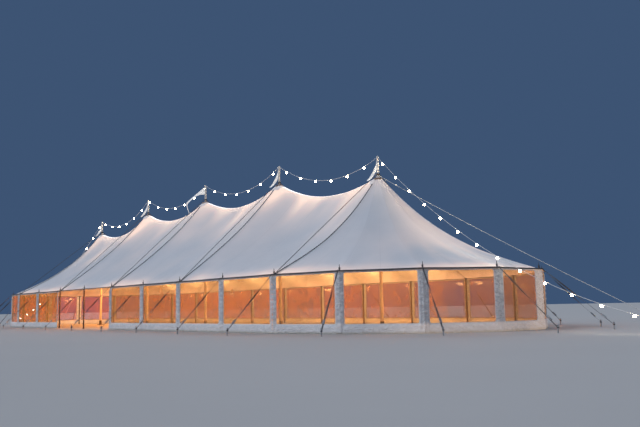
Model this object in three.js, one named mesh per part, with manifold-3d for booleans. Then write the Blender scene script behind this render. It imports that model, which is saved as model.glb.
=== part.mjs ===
// A pole tent with five king poles, rounded ends and window walls, as a model at half size.
// Millimetres, +Z up. The origin is on the ground at the middle of the plan, and X runs along the ridge.
import * as THREE from 'three';
import { mergeVertices } from 'three/addons/utils/BufferGeometryUtils.js';
import Module from 'manifold-3d';

const wasm = await Module();
wasm.setup();

// Driving dimensions: the real tent's size in millimetres, times the scale of the model.
const SCALE = 0.5;
const KING_COUNT = 5;
const KING_GAP = 6096 * SCALE;
const HALF_WIDTH = 4877 * SCALE;
const END_REACH = 6096 * SCALE;
const END_BAYS = 7;
const EAVE_HEIGHT = 1890 * SCALE;
const MIDDLE_PEAK = 6120 * SCALE;
const END_PEAK = 5570 * SCALE;
const MIDDLE_MAST = 6980 * SCALE;
const END_MAST = 6390 * SCALE;
const RIDGE_SAG = 600 * SCALE;
const MIDDLE_SEAM_SAG = 300 * SCALE;
const END_SEAM_SAG = 500 * SCALE;
const END_SAG = 640 * SCALE;
const SAG_SKEW = 0.35;

// Gaps between pieces that touch, and how near two corners are when they are one.
const GAP = 0.3;
const HALF_GAP = GAP / 2;
const WELD = 1e-3;

// The canopy's cloth, its flat ring round each king pole and its flat hem.
const CANOPY_THICKNESS = 6;
const CROWN_FLAT = 50;
const HEM_INSIDE = 25;
const HEM_OUTSIDE = 48;
const SLOPE_STEPS = 5;
const RIDGE_STEPS = 6;

// King poles.
const KING_SIDES = 12;
const KING_FOOT_RADIUS = 220 * SCALE;
const KING_FOOT_HEIGHT = 24 * SCALE;
const KING_BOTTOM_RADIUS = 70 * SCALE;
const KING_TOP_RADIUS = 42 * SCALE;
const COLLAR_RADIUS = 90 * SCALE;
const COLLAR_HEIGHT = 24 * SCALE;
const COLLAR_FLARE = 120 * SCALE;
const CAP_RADIUS = 54 * SCALE;
const CAP_HEIGHT = 40 * SCALE;

// Side poles, the rope along their outer faces that carries the walls, and their pins.
const POLE_SIDES = 6;
const POLE_RADIUS = 36 * SCALE;
const POLE_FOOT_RADIUS = 50 * SCALE;
const POLE_FOOT_HEIGHT = 16 * SCALE;
const PIN_RADIUS = 14 * SCALE;
const PIN_RISE = 200 * SCALE;
const PIN_TIP_RADIUS = 6 * SCALE;
const WALL_ROPE_INNER = 32 * SCALE;
const WALL_ROPE_OUTER = 52 * SCALE;
const WALL_ROPE_LOW = 1822 * SCALE;
const WALL_ROPE_HIGH = 1838 * SCALE;

// Walls of cloth with a clear sheet behind each run of windows.
const SHEET_THICKNESS = 3;
const SHEET_LOW = 250 * SCALE;
const SHEET_HIGH = 1850 * SCALE;
const WALL_THICKNESS = 6;
const WALL_HEIGHT = 1862 * SCALE;
const WINDOW_LOW = 290 * SCALE;
const WINDOW_HIGH = 1800 * SCALE;
const PILLAR_HALF = 150 * SCALE;
const MIDDLE_BAY_PILLARS = [200 * SCALE, 360 * SCALE];
const WINDOW_CORNER = 60 * SCALE;
const CUTTER_DEPTH = 60;

// The webbing round the hem, the guy lines and their stakes.
const WEBBING_THICKNESS = 5;
const WEBBING_BELOW = 32 * SCALE;
const WEBBING_ABOVE = 12 * SCALE;
const GUY_REACH = 1800 * SCALE;
const MIDDLE_GUY_REACH = 2200 * SCALE;
const GUY_RADIUS = 8 * SCALE;
const GUY_END_HEIGHT = 150 * SCALE;
const TENSIONER_RADIUS = 24 * SCALE;
const TENSIONER_START = 0.82;
const TENSIONER_END = 0.9;
const STAKE_RADIUS = 20 * SCALE;
const STAKE_HEIGHT = 230 * SCALE;
const STAKE_HEAD_RADIUS = 28 * SCALE;
const ROPE_SIDES = 4;

// Ropes over the roof at each king pole, from a ring on the mast to a ring on a pin at each eave.
const SEAM_ROPE_RADIUS = 10 * SCALE;
const RING_WIDTH = 7;
const RING_HEIGHT = 12;
const RING_SIDES = 6;
const SEAM_RING_RISE = 120 * SCALE;

// Stays at both ends: a plain one from the crown of the roof and one with lamps from the mast top.
const STAY_TURN = THREE.MathUtils.degToRad(8);
const STORM_RING_RISE = 32 * SCALE;
const STORM_REACH = 9900 * SCALE;
const STORM_SAG = 80 * SCALE;
const STORM_STEPS = 8;
const STORM_RADIUS = 12 * SCALE;
const LAMP_STAY_REACH = 12200 * SCALE;
const LAMP_STAY_SAG = 1150 * SCALE;
const LAMP_STAY_DROP = 110 * SCALE;
const LAMP_STRING_DROP = 80 * SCALE;
const LAMP_STRING_SAG = 720 * SCALE;
const LAMP_STRING_STEPS = 8;
const LAMP_STAY_STEPS = 16;
const LAMP_CORD_RADIUS = 8 * SCALE;
const LAMP_GAP = 965 * SCALE;
const FIRST_LAMP_ON_STAY = 1300 * SCALE;
const FIRST_LAMP_ON_STRING = 480 * SCALE;
const LAMP_BEFORE_MAST = 84 * SCALE;
const LAMP_BEHIND_MAST = 126 * SCALE;
const LAMP_RADIUS = 36 * SCALE;
const LAMP_DROP = 130 * SCALE;
const SOCKET_RADIUS = 18 * SCALE;
const SOCKET_RISE = 16 * SCALE;
const LAMP_SIDES = 5;

// Pennants at the mast heads.
const PENNANT_THICKNESS = 4;
const PENNANT_DROP = 116 * SCALE;
const PENNANT_CURVE_STEPS = 2;
const WIND_TURN = THREE.MathUtils.degToRad(-130);
const FLYING_PENNANT = 2;

// The edges of a pennant at full size, as distances out from the mast and above the top of its hoist.
const FLYING = {
  upper: [[0, 0], [264, -198], [520, -412], [806, -670], [904, -830], [874, -1014], [776, -1298]],
  lower: [[0, -356], [270, -370], [480, -484], [744, -720], [860, -848], [848, -1016], [752, -1302]],
};
const LIMP = {
  upper: [[0, 0], [8, -120], [30, -230], [100, -396], [196, -562], [280, -706], [386, -824]],
  lower: [[0, -180], [2, -274], [6, -354], [24, -464], [100, -610], [196, -730], [320, -836]],
};

// Finishes.
const CANVAS = { color: 0xe7e2dc, roughness: 0.85, metalness: 0 };
const WALL_CLOTH = { color: 0xeeebe6, roughness: 0.8, metalness: 0 };
const CLEAR_SHEET = { color: 0xdfe6e8, roughness: 0.15, metalness: 0 };
const TIMBER = { color: 0xcfc3ad, roughness: 0.6, metalness: 0 };
const POLE_FINISH = { color: 0x6d5137, roughness: 0.6, metalness: 0 };
const DARK_ROPE = { color: 0x3b352e, roughness: 0.9, metalness: 0 };
const PALE_ROPE = { color: 0xcfc8ba, roughness: 0.9, metalness: 0 };
const LAMP_GLASS = { color: 0xffe2b8, roughness: 0.3, metalness: 0 };
const PENNANT_CLOTH = { color: 0xf0e6cf, roughness: 0.85, metalness: 0 };

// Places that follow from the driving dimensions.
const SHEET_INNER = WALL_ROPE_OUTER + GAP;
const WALL_INNER = SHEET_INNER + SHEET_THICKNESS + GAP;
const WALL_OUTER = WALL_INNER + WALL_THICKNESS;
const LAST_KING = KING_COUNT - 1;
const SIDE_GAP = KING_GAP / 2;
const SIDE_BAYS = 2 * LAST_KING;
const HALF_LENGTH = (LAST_KING * KING_GAP) / 2;
const HALF_ROUND = SIDE_BAYS + END_BAYS;
const kingX = (king) => king * KING_GAP - HALF_LENGTH;
const isEndKing = (king) => king === 0 || king === LAST_KING;
const peakHeight = (king) => (isEndKing(king) ? END_PEAK : MIDDLE_PEAK);
const mastHeight = (king) => (isEndKing(king) ? END_MAST : MIDDLE_MAST);
const seamSag = (king) => (isEndKing(king) ? END_SEAM_SAG : MIDDLE_SEAM_SAG);
const poles = polePlaces();

// The side poles' places, anticlockwise from the front's left corner. The front and the right end, turned by
// half a circle, give the back and the left end.
function polePlaces() {
  const half = [];
  for (let i = 0; i <= SIDE_BAYS; i++) {
    half.push(new THREE.Vector2(i * SIDE_GAP - HALF_LENGTH, -HALF_WIDTH));
  }
  for (let i = 1; i < END_BAYS; i++) {
    const turn = (i * Math.PI) / END_BAYS;
    half.push(new THREE.Vector2(HALF_LENGTH + END_REACH * Math.sin(turn), -HALF_WIDTH * Math.cos(turn)));
  }
  return half.concat(half.map((place) => place.clone().negate()));
}

function poleAt(index) {
  return poles[(index + poles.length) % poles.length];
}

function chordDirection(index) {
  return poleAt(index + 1).clone().sub(poleAt(index)).normalize();
}

// The outward normal of the chord from pole index to the next one.
function chordNormal(index) {
  const along = chordDirection(index);
  return new THREE.Vector2(along.y, -along.x);
}

// The corner at pole index of the outline that lies the given distance outside the line of the poles.
function outwardPoint(index, distance) {
  const before = chordNormal(index - 1);
  const after = chordNormal(index);
  const mitre = before.clone().add(after).divideScalar(1 + before.dot(after));
  return poleAt(index).clone().addScaledVector(mitre, distance);
}

// The way that pole index's guy line runs: straight out at the sides, away from the king pole at the ends.
function guyDirection(index) {
  const place = poleAt(index);
  const centreX = THREE.MathUtils.clamp(place.x, -HALF_LENGTH, HALF_LENGTH);
  return new THREE.Vector2(place.x - centreX, place.y).normalize();
}

// A closed body of manifold-3d from a closed geometry, without the triangles that a lathe folds flat on
// its axis.
function toSolid(geometry) {
  const bare = geometry.clone();
  bare.deleteAttribute('normal');
  bare.deleteAttribute('uv');
  const merged = mergeVertices(bare, WELD);
  const corners = merged.index.array;
  const kept = [];
  for (let i = 0; i < corners.length; i += 3) {
    const [a, b, c] = [corners[i], corners[i + 1], corners[i + 2]];
    if (a !== b && b !== c && c !== a) {
      kept.push(a, b, c);
    }
  }
  const vertProperties = new Float32Array(merged.attributes.position.array);
  const triVerts = new Uint32Array(kept);
  return new wasm.Manifold(new wasm.Mesh({ numProp: 3, vertProperties, triVerts }));
}

function toGeometry(solid) {
  const mesh = solid.getMesh();
  const geometry = new THREE.BufferGeometry();
  geometry.setAttribute('position', new THREE.BufferAttribute(new Float32Array(mesh.vertProperties), 3));
  geometry.setIndex(new THREE.BufferAttribute(new Uint32Array(mesh.triVerts), 1));
  geometry.computeVertexNormals();
  return geometry;
}

// The same geometry on the other side of the plane x = 0, with its faces still pointing outwards.
function mirrored(geometry) {
  const other = geometry.clone().applyMatrix4(new THREE.Matrix4().makeScale(-1, 1, 1));
  const corners = other.index.array;
  for (let i = 0; i < corners.length; i += 3) {
    [corners[i], corners[i + 1]] = [corners[i + 1], corners[i]];
  }
  return other;
}

function joined(geometries) {
  return geometries.map(toSolid).reduce((sum, solid) => sum.add(solid));
}

// A box of the given columns and rows, each corner moved to the place that the function gives. Its underside is
// cut into triangles along the diagonals of its top, so a twisted cell keeps its thickness.
function shapedBox(columns, rows, placeCorner) {
  const box = new THREE.BoxGeometry(1, 1, 1, columns, rows, 1);
  box.deleteAttribute('normal');
  box.deleteAttribute('uv');
  const shaped = mergeVertices(box);
  const position = shaped.attributes.position;
  for (let i = 0; i < position.count; i++) {
    const column = Math.round((position.getX(i) + 0.5) * columns);
    const row = Math.round((position.getY(i) + 0.5) * rows);
    const place = placeCorner(column, row, position.getZ(i) > 0);
    position.setXYZ(i, place.x, place.y, place.z);
  }
  const underside = shaped.groups.at(-1);
  for (let i = underside.start; i < underside.start + underside.count; i += 6) {
    const [a, b, d, , c] = shaped.index.array.slice(i, i + 6);
    shaped.index.set([a, b, c, a, c, d], i);
  }
  return shaped;
}

// A lathe about the upright axis: each profile point is a radius and a height, and the profile runs upwards.
function turned(profile, sides) {
  const points = profile.map(([radius, height]) => new THREE.Vector2(radius, height));
  return new THREE.LatheGeometry(points, sides).rotateX(Math.PI / 2);
}

// A ring round a post of the given radius, with a gap to it at the middle of each side.
function ring(postRadius, low) {
  const innerRadius = (postRadius + GAP) / Math.cos(Math.PI / RING_SIDES);
  const outerRadius = innerRadius + RING_WIDTH;
  const high = low + RING_HEIGHT;
  const profile = [
    [innerRadius, low],
    [outerRadius, low],
    [outerRadius, high],
    [innerRadius, high],
    [innerRadius, low],
  ];
  return turned(profile, RING_SIDES);
}

function tube(path, radius, sides, steps) {
  const corners = [];
  for (let i = 0; i < sides; i++) {
    const angle = (i * 2 * Math.PI) / sides;
    corners.push(new THREE.Vector2(radius * Math.cos(angle), radius * Math.sin(angle)));
  }
  const section = new THREE.Shape(corners);
  return new THREE.ExtrudeGeometry(section, { extrudePath: path, steps, bevelEnabled: false });
}

function rope(from, to, radius) {
  return tube(new THREE.LineCurve3(from, to), radius, ROPE_SIDES, 1);
}

// A parabola between two points that hangs the given sag below the straight line at its middle.
function hangingCurve(from, to, sag) {
  const control = from.clone().add(to).multiplyScalar(0.5);
  control.z -= 2 * sag;
  return new THREE.QuadraticBezierCurve3(from, control, to);
}

// How far the cloth hangs below a straight slope, from 0 at the crown to 1 at the hem.
function slopeSag(part, sag) {
  return 4 * sag * part * (1 - part) * (1 + SAG_SKEW * (1 - 2 * part));
}

function slopeHeight(part, top, sag) {
  return THREE.MathUtils.lerp(top, EAVE_HEIGHT, part) - slopeSag(part, sag);
}

// The distances from the crown at which the cloth of a slope bends, out to the hem's inner line.
function slopeStations(reach) {
  const stations = [];
  for (let i = 0; i <= SLOPE_STEPS; i++) {
    stations.push(THREE.MathUtils.lerp(CROWN_FLAT, reach, i / SLOPE_STEPS));
  }
  return stations;
}

// The cloth between two king poles: the ridge hangs between the crowns and each slope hangs to its hem.
function canopyBay(king) {
  const hemInner = HALF_WIDTH - HEM_INSIDE;
  const side = slopeStations(hemInner).concat(HALF_WIDTH + HEM_OUTSIDE);
  const rowPlaces = side.map((y) => -y).reverse().concat(side);
  const left = kingX(king);
  const span = KING_GAP - 2 * CROWN_FLAT;
  const columnPlaces = [left + HALF_GAP];
  for (let i = 0; i <= RIDGE_STEPS; i++) {
    columnPlaces.push(left + CROWN_FLAT + (span * i) / RIDGE_STEPS);
  }
  columnPlaces.push(left + KING_GAP - HALF_GAP);
  return shapedBox(columnPlaces.length - 1, rowPlaces.length - 1, (column, row, onTop) => {
    const x = columnPlaces[column];
    const y = rowPlaces[row];
    const across = THREE.MathUtils.clamp((x - left - CROWN_FLAT) / span, 0, 1);
    const ridge = THREE.MathUtils.lerp(peakHeight(king), peakHeight(king + 1), across);
    const top = ridge - 4 * RIDGE_SAG * across * (1 - across);
    const sag = THREE.MathUtils.lerp(seamSag(king), seamSag(king + 1), across);
    const part = THREE.MathUtils.clamp((Math.abs(y) - CROWN_FLAT) / (hemInner - CROWN_FLAT), 0, 1);
    const z = slopeHeight(part, top, sag) - (onTop ? 0 : CANOPY_THICKNESS);
    return new THREE.Vector3(x, y, z);
  });
}

// The hem of the right end at a row of its cloth, from the king pole; two rows cover one bay.
function endHem(row, distance) {
  const first = Math.floor(row / 2);
  const corner = (bay) => {
    const isCorner = bay === 0 || bay === END_BAYS;
    const square = new THREE.Vector2(HALF_LENGTH, Math.sign(bay - 1) * (HALF_WIDTH + distance));
    return isCorner ? square : outwardPoint(SIDE_BAYS + bay, distance);
  };
  const start = corner(first);
  const place = row % 2 === 0 ? start : start.clone().lerp(corner(first + 1), 0.5);
  return place.sub(new THREE.Vector2(HALF_LENGTH, 0));
}

// The cloth of the right end, a fan round the last king pole.
function canopyEnd() {
  const rows = 2 * END_BAYS;
  const columns = SLOPE_STEPS + 2;
  return shapedBox(columns, rows, (column, row, onTop) => {
    const inner = endHem(row, -HEM_INSIDE);
    const outer = endHem(row, HEM_OUTSIDE);
    const reach = inner.length();
    const radii = [mastRadius(LAST_KING, END_PEAK) + GAP].concat(slopeStations(reach), reach);
    const plan = column < columns ? inner.clone().setLength(radii[column]) : outer;
    const part = THREE.MathUtils.clamp((radii[column] - CROWN_FLAT) / (reach - CROWN_FLAT), 0, 1);
    const sag = THREE.MathUtils.lerp(END_SEAM_SAG, END_SAG, Math.sin((row * Math.PI) / rows));
    const z = slopeHeight(part, END_PEAK, sag) - (onTop ? 0 : CANOPY_THICKNESS);
    return new THREE.Vector3(HALF_LENGTH + HALF_GAP + plan.x, plan.y, z);
  });
}

function mastRadius(king, height) {
  return THREE.MathUtils.lerp(KING_BOTTOM_RADIUS, KING_TOP_RADIUS, height / mastHeight(king));
}

// What the canopy is pierced by: the five masts and the pins of the side poles.
function canopyHoles() {
  const pinHoles = poles.map((place) => {
    const hole = new THREE.CylinderGeometry(PIN_RADIUS + GAP, PIN_RADIUS + GAP, 2 * CUTTER_DEPTH, POLE_SIDES);
    return hole.rotateX(Math.PI / 2).translate(place.x, place.y, EAVE_HEIGHT);
  });
  const mastHoles = [];
  for (let king = 0; king < KING_COUNT; king++) {
    const radius = mastRadius(king, peakHeight(king)) + GAP;
    const hole = new THREE.CylinderGeometry(radius, radius, 2 * CUTTER_DEPTH, KING_SIDES);
    mastHoles.push(hole.rotateX(Math.PI / 2).translate(kingX(king), 0, peakHeight(king)));
  }
  return joined(pinHoles.concat(mastHoles));
}

// A timber mast on a round foot plate, with the collar that carries the canopy's crown and a cap on top.
function kingPole(king) {
  const collarTop = peakHeight(king) - CANOPY_THICKNESS - GAP;
  const collarLow = collarTop - COLLAR_HEIGHT;
  const flareLow = collarLow - COLLAR_FLARE;
  const top = mastHeight(king);
  const capLow = top - CAP_HEIGHT;
  return turned(
    [
      [0, 0],
      [KING_FOOT_RADIUS, 0],
      [KING_FOOT_RADIUS, KING_FOOT_HEIGHT],
      [mastRadius(king, KING_FOOT_HEIGHT), KING_FOOT_HEIGHT],
      [mastRadius(king, flareLow), flareLow],
      [COLLAR_RADIUS, collarLow],
      [COLLAR_RADIUS, collarTop],
      [mastRadius(king, collarTop), collarTop],
      [mastRadius(king, capLow), capLow],
      [CAP_RADIUS, capLow],
      [CAP_RADIUS, top - CAP_HEIGHT / 2],
      [0, top],
    ],
    KING_SIDES
  );
}

// A side pole: a foot, a shaft up to the hem and a tapered pin that stands through the hem.
function sidePole(index) {
  const shoulder = EAVE_HEIGHT - CANOPY_THICKNESS - GAP;
  const pinTop = EAVE_HEIGHT + PIN_RISE;
  const profile = [
    [0, 0],
    [POLE_FOOT_RADIUS, 0],
    [POLE_FOOT_RADIUS, POLE_FOOT_HEIGHT],
    [POLE_RADIUS, POLE_FOOT_HEIGHT],
    [POLE_RADIUS, shoulder],
    [PIN_RADIUS, shoulder],
    [PIN_TIP_RADIUS, pinTop],
    [0, pinTop],
  ];
  const place = poleAt(index);
  return turned(profile, POLE_SIDES).translate(place.x, place.y, 0);
}

// A band along the line of the poles from one pole to another, mitred at each pole and trimmed at both ends.
function band(first, last, inner, outer, low, high, trim) {
  return shapedBox(last - first, 1, (column, row, onTop) => {
    const place = outwardPoint(first + column, row === 1 ? inner : outer);
    if (column === 0) {
      place.addScaledVector(chordDirection(first), trim);
    }
    if (column === last - first) {
      place.addScaledVector(chordDirection(last - 1), -trim);
    }
    return new THREE.Vector3(place.x, place.y, onTop ? high : low);
  });
}

// A row of side poles, joined by the rope that runs along their outer faces and carries the walls.
function sidePoleRow(firstPole, lastPole, ropeFirst, ropeLast) {
  const trim = ropeFirst < firstPole ? POLE_RADIUS : HALF_GAP;
  const wallRope = [WALL_ROPE_INNER, WALL_ROPE_OUTER, WALL_ROPE_LOW, WALL_ROPE_HIGH];
  const pieces = [band(ropeFirst, ropeLast, ...wallRope, trim)];
  for (let index = firstPole; index <= lastPole; index++) {
    pieces.push(sidePole(index));
  }
  return joined(pieces);
}

function roundedWindow(width, height) {
  const x = width / 2;
  const r = WINDOW_CORNER;
  const shape = new THREE.Shape();
  shape.moveTo(-x + r, 0);
  shape.lineTo(x - r, 0);
  shape.absarc(x - r, r, r, -Math.PI / 2, 0, false);
  shape.lineTo(x, height - r);
  shape.absarc(x - r, height - r, r, 0, Math.PI / 2, false);
  shape.lineTo(-x + r, height);
  shape.absarc(-x + r, height - r, r, Math.PI / 2, Math.PI, false);
  shape.lineTo(-x, r);
  shape.absarc(-x + r, r, r, Math.PI, 1.5 * Math.PI, false);
  return shape;
}

// Whether a bay is the middle one of a rounded end; its first pole is given.
function isMiddleBay(index) {
  return index % HALF_ROUND === SIDE_BAYS + (END_BAYS - 1) / 2;
}

// The block that cuts the window of one bay out of a wall. The cloth left beside the window is wider in the
// middle bay of a rounded end.
function windowCutter(index, wallMiddle) {
  const from = outwardPoint(index, wallMiddle);
  const to = outwardPoint(index + 1, wallMiddle);
  const along = chordDirection(index);
  const outward = chordNormal(index);
  const [before, after] = isMiddleBay(index) ? MIDDLE_BAY_PILLARS : [PILLAR_HALF, PILLAR_HALF];
  const shape = roundedWindow(from.distanceTo(to) - before - after, WINDOW_HIGH - WINDOW_LOW);
  const block = new THREE.ExtrudeGeometry(shape, {
    depth: CUTTER_DEPTH,
    bevelEnabled: false,
    curveSegments: 1,
  });
  const middle = from.clone().lerp(to, 0.5).addScaledVector(along, (before - after) / 2);
  const turn = new THREE.Matrix4().makeBasis(
    new THREE.Vector3(along.x, along.y, 0),
    new THREE.Vector3(0, 0, 1),
    new THREE.Vector3(outward.x, outward.y, 0)
  );
  block.translate(0, 0, -CUTTER_DEPTH / 2).applyMatrix4(turn);
  return block.translate(middle.x, middle.y, WINDOW_LOW);
}

function windowWall(first, last) {
  let wall = toSolid(band(first, last, WALL_INNER, WALL_OUTER, 0, WALL_HEIGHT, HALF_GAP));
  for (let index = first; index < last; index++) {
    wall = wall.subtract(toSolid(windowCutter(index, (WALL_INNER + WALL_OUTER) / 2)));
  }
  return wall;
}

function clearSheet(first, last) {
  return band(first, last, SHEET_INNER, SHEET_INNER + SHEET_THICKNESS, SHEET_LOW, SHEET_HIGH, HALF_GAP);
}

function stake(place) {
  const profile = [
    [0, 0],
    [STAKE_RADIUS, 0],
    [STAKE_HEAD_RADIUS, STAKE_HEIGHT],
    [0, STAKE_HEIGHT],
  ];
  return turned(profile, POLE_SIDES).translate(place.x, place.y, 0);
}

// One guy line from the webbing down to its stake, with its tensioner near the lower end.
function guyLine(index) {
  const start = outwardPoint(index, HEM_OUTSIDE + GAP + WEBBING_THICKNESS / 2);
  const reach = isMiddleBay(index) || isMiddleBay(index - 1) ? MIDDLE_GUY_REACH : GUY_REACH;
  const foot = poleAt(index).clone().addScaledVector(guyDirection(index), reach);
  const from = new THREE.Vector3(start.x, start.y, EAVE_HEIGHT - WEBBING_BELOW / 2);
  const to = new THREE.Vector3(foot.x, foot.y, GUY_END_HEIGHT);
  const tensionerTop = from.clone().lerp(to, TENSIONER_START);
  const tensionerEnd = from.clone().lerp(to, TENSIONER_END);
  return [rope(from, to, GUY_RADIUS), rope(tensionerTop, tensionerEnd, TENSIONER_RADIUS), stake(foot)];
}

// A run of webbing along the hem with the guy lines that hold it.
function guySet(firstPole, lastPole, webbingFirst, webbingLast) {
  const inner = HEM_OUTSIDE + GAP;
  const low = EAVE_HEIGHT - WEBBING_BELOW;
  const high = EAVE_HEIGHT + WEBBING_ABOVE;
  const trim = webbingFirst < firstPole ? 2 * GUY_RADIUS : HALF_GAP;
  const pieces = [band(webbingFirst, webbingLast, inner, inner + WEBBING_THICKNESS, low, high, trim)];
  for (let index = firstPole; index <= lastPole; index++) {
    pieces.push(...guyLine(index));
  }
  return joined(pieces);
}

// The rope over one seam, in the king pole's own place: a ring on the mast and a rope to a pin at each eave.
function seamRope(king) {
  const height = peakHeight(king) + SEAM_RING_RISE;
  const postRadius = mastRadius(king, height);
  const pieces = [ring(postRadius, height)];
  const pinRingLow = EAVE_HEIGHT + GAP;
  for (const side of [-1, 1]) {
    const from = new THREE.Vector3(0, side * (postRadius + RING_WIDTH / 2), height + RING_HEIGHT / 2);
    const end = side * (HALF_WIDTH - PIN_RADIUS - RING_WIDTH / 2);
    const to = new THREE.Vector3(0, end, pinRingLow + RING_HEIGHT / 2);
    pieces.push(rope(from, to, SEAM_ROPE_RADIUS));
    pieces.push(ring(PIN_RADIUS, pinRingLow).translate(0, side * HALF_WIDTH, 0));
  }
  return joined(pieces);
}

// The plain stay of the right end, from the crown of the roof to its stake.
function stormStay() {
  const low = END_PEAK + STORM_RING_RISE;
  const postRadius = mastRadius(LAST_KING, low);
  const away = new THREE.Vector2(Math.cos(STAY_TURN), Math.sin(STAY_TURN));
  const start = away.clone().multiplyScalar(postRadius + RING_WIDTH / 2);
  const foot = away.clone().multiplyScalar(STORM_REACH);
  const from = new THREE.Vector3(start.x, start.y, low + RING_HEIGHT / 2);
  const to = new THREE.Vector3(foot.x, foot.y, GUY_END_HEIGHT);
  const line = tube(hangingCurve(from, to, STORM_SAG), STORM_RADIUS, ROPE_SIDES, STORM_STEPS);
  return joined([ring(postRadius, low), line, stake(foot)]);
}

// A lamp hanging from its cord: a bulb under a socket that clasps the cord.
function lamp(place) {
  const profile = [
    [0, -LAMP_DROP],
    [LAMP_RADIUS, -LAMP_DROP + LAMP_RADIUS],
    [SOCKET_RADIUS, SOCKET_RISE],
    [0, SOCKET_RISE],
  ];
  return turned(profile, LAMP_SIDES).translate(place.x, place.y, place.z);
}

// The stay with lamps of the right end, from the mast's top to its stake.
function lampStay() {
  const low = END_MAST - LAMP_STAY_DROP;
  const postRadius = mastRadius(LAST_KING, low);
  const away = new THREE.Vector2(Math.cos(STAY_TURN), -Math.sin(STAY_TURN));
  const start = away.clone().multiplyScalar(postRadius + RING_WIDTH / 2);
  const foot = away.clone().multiplyScalar(LAMP_STAY_REACH);
  const from = new THREE.Vector3(start.x, start.y, low + RING_HEIGHT / 2);
  const to = new THREE.Vector3(foot.x, foot.y, GUY_END_HEIGHT);
  const path = hangingCurve(from, to, LAMP_STAY_SAG);
  const length = path.getLength();
  const pieces = [
    ring(postRadius, low),
    tube(path, LAMP_CORD_RADIUS, ROPE_SIDES, LAMP_STAY_STEPS),
    stake(foot),
  ];
  for (let along = FIRST_LAMP_ON_STAY; along < length - LAMP_GAP; along += LAMP_GAP) {
    pieces.push(lamp(path.getPointAt(along / length)));
  }
  return joined(pieces);
}

// The string of lamps from mast to mast along the whole ridge.
function lampString() {
  const pieces = [];
  const ringLow = (king) => mastHeight(king) - LAMP_STRING_DROP;
  const postRadius = (king) => mastRadius(king, ringLow(king));
  for (let king = 0; king < KING_COUNT; king++) {
    pieces.push(ring(postRadius(king), ringLow(king)).translate(kingX(king), 0, 0));
  }
  const anchor = (king, side) => {
    const x = kingX(king) + side * (postRadius(king) + RING_WIDTH / 2);
    return new THREE.Vector3(x, 0, ringLow(king) + RING_HEIGHT / 2);
  };
  for (let king = 0; king < LAST_KING; king++) {
    const path = hangingCurve(anchor(king, 1), anchor(king + 1, -1), LAMP_STRING_SAG);
    pieces.push(tube(path, LAMP_CORD_RADIUS, ROPE_SIDES, LAMP_STRING_STEPS));
    const left = kingX(king);
    const beforeSpan = Math.max(0, Math.ceil((left + HALF_LENGTH - FIRST_LAMP_ON_STRING) / LAMP_GAP));
    let x = FIRST_LAMP_ON_STRING - HALF_LENGTH + beforeSpan * LAMP_GAP;
    for (; x < left + KING_GAP - LAMP_BEFORE_MAST; x += LAMP_GAP) {
      const clearOfMast = Math.max(x, left + LAMP_BEHIND_MAST);
      const part = (clearOfMast - path.v0.x) / (path.v2.x - path.v0.x);
      pieces.push(lamp(path.getPoint(part)));
    }
  }
  return joined(pieces);
}

// A pennant laced to the mast, in the king pole's own place: it falls away from its hoist and tapers to its
// tip.
function pennant(king, outline) {
  const hoistTop = mastHeight(king) - PENNANT_DROP;
  const placed = ([out, rise]) => new THREE.Vector2(out * SCALE, rise * SCALE);
  const upper = outline.upper.map(placed);
  const lower = outline.lower.map(placed);
  const tip = upper.pop();
  const shape = new THREE.Shape();
  shape.moveTo(0, 0);
  shape.lineTo(lower[0].x, lower[0].y);
  shape.splineThru(lower.slice(1));
  shape.lineTo(tip.x, tip.y);
  shape.splineThru(upper.reverse());
  const cloth = new THREE.ExtrudeGeometry(shape, {
    depth: PENNANT_THICKNESS,
    bevelEnabled: false,
    curveSegments: PENNANT_CURVE_STEPS,
  });
  const edge = mastRadius(king, hoistTop + lower[0].y) + GAP;
  cloth.translate(0, 0, -PENNANT_THICKNESS / 2).rotateX(Math.PI / 2);
  return cloth.translate(edge, 0, hoistTop).rotateZ(WIND_TURN);
}

function mesh(name, geometry, finish) {
  const made = new THREE.Mesh(geometry, new THREE.MeshStandardMaterial(finish));
  made.name = name;
  return made;
}

const tent = new THREE.Group();
const holes = canopyHoles();

// The canopy, in six lengths laced together over the king poles. Its left half mirrors the right one.
for (let king = LAST_KING / 2; king < LAST_KING; king++) {
  const cloth = toGeometry(toSolid(canopyBay(king)).subtract(holes));
  tent.add(mesh(`canopy_bay_${king + 1}`, cloth, CANVAS));
  tent.add(mesh(`canopy_bay_${LAST_KING - king}`, mirrored(cloth), CANVAS));
}
const endCloth = toGeometry(toSolid(canopyEnd()).subtract(holes));
tent.add(mesh('canopy_right_end', endCloth, CANVAS));
tent.add(mesh('canopy_left_end', mirrored(endCloth), CANVAS));

// The king poles with what each of them carries.
for (let king = 0; king < KING_COUNT; king++) {
  const station = new THREE.Group();
  station.position.x = kingX(king);
  station.add(mesh(`king_pole_${king + 1}`, kingPole(king), TIMBER));
  station.add(mesh(`seam_rope_${king + 1}`, toGeometry(seamRope(king)), DARK_ROPE));
  const cloth = pennant(king, king === FLYING_PENNANT ? FLYING : LIMP);
  station.add(mesh(`pennant_${king + 1}`, cloth, PENNANT_CLOTH));
  tent.add(station);
}

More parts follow.
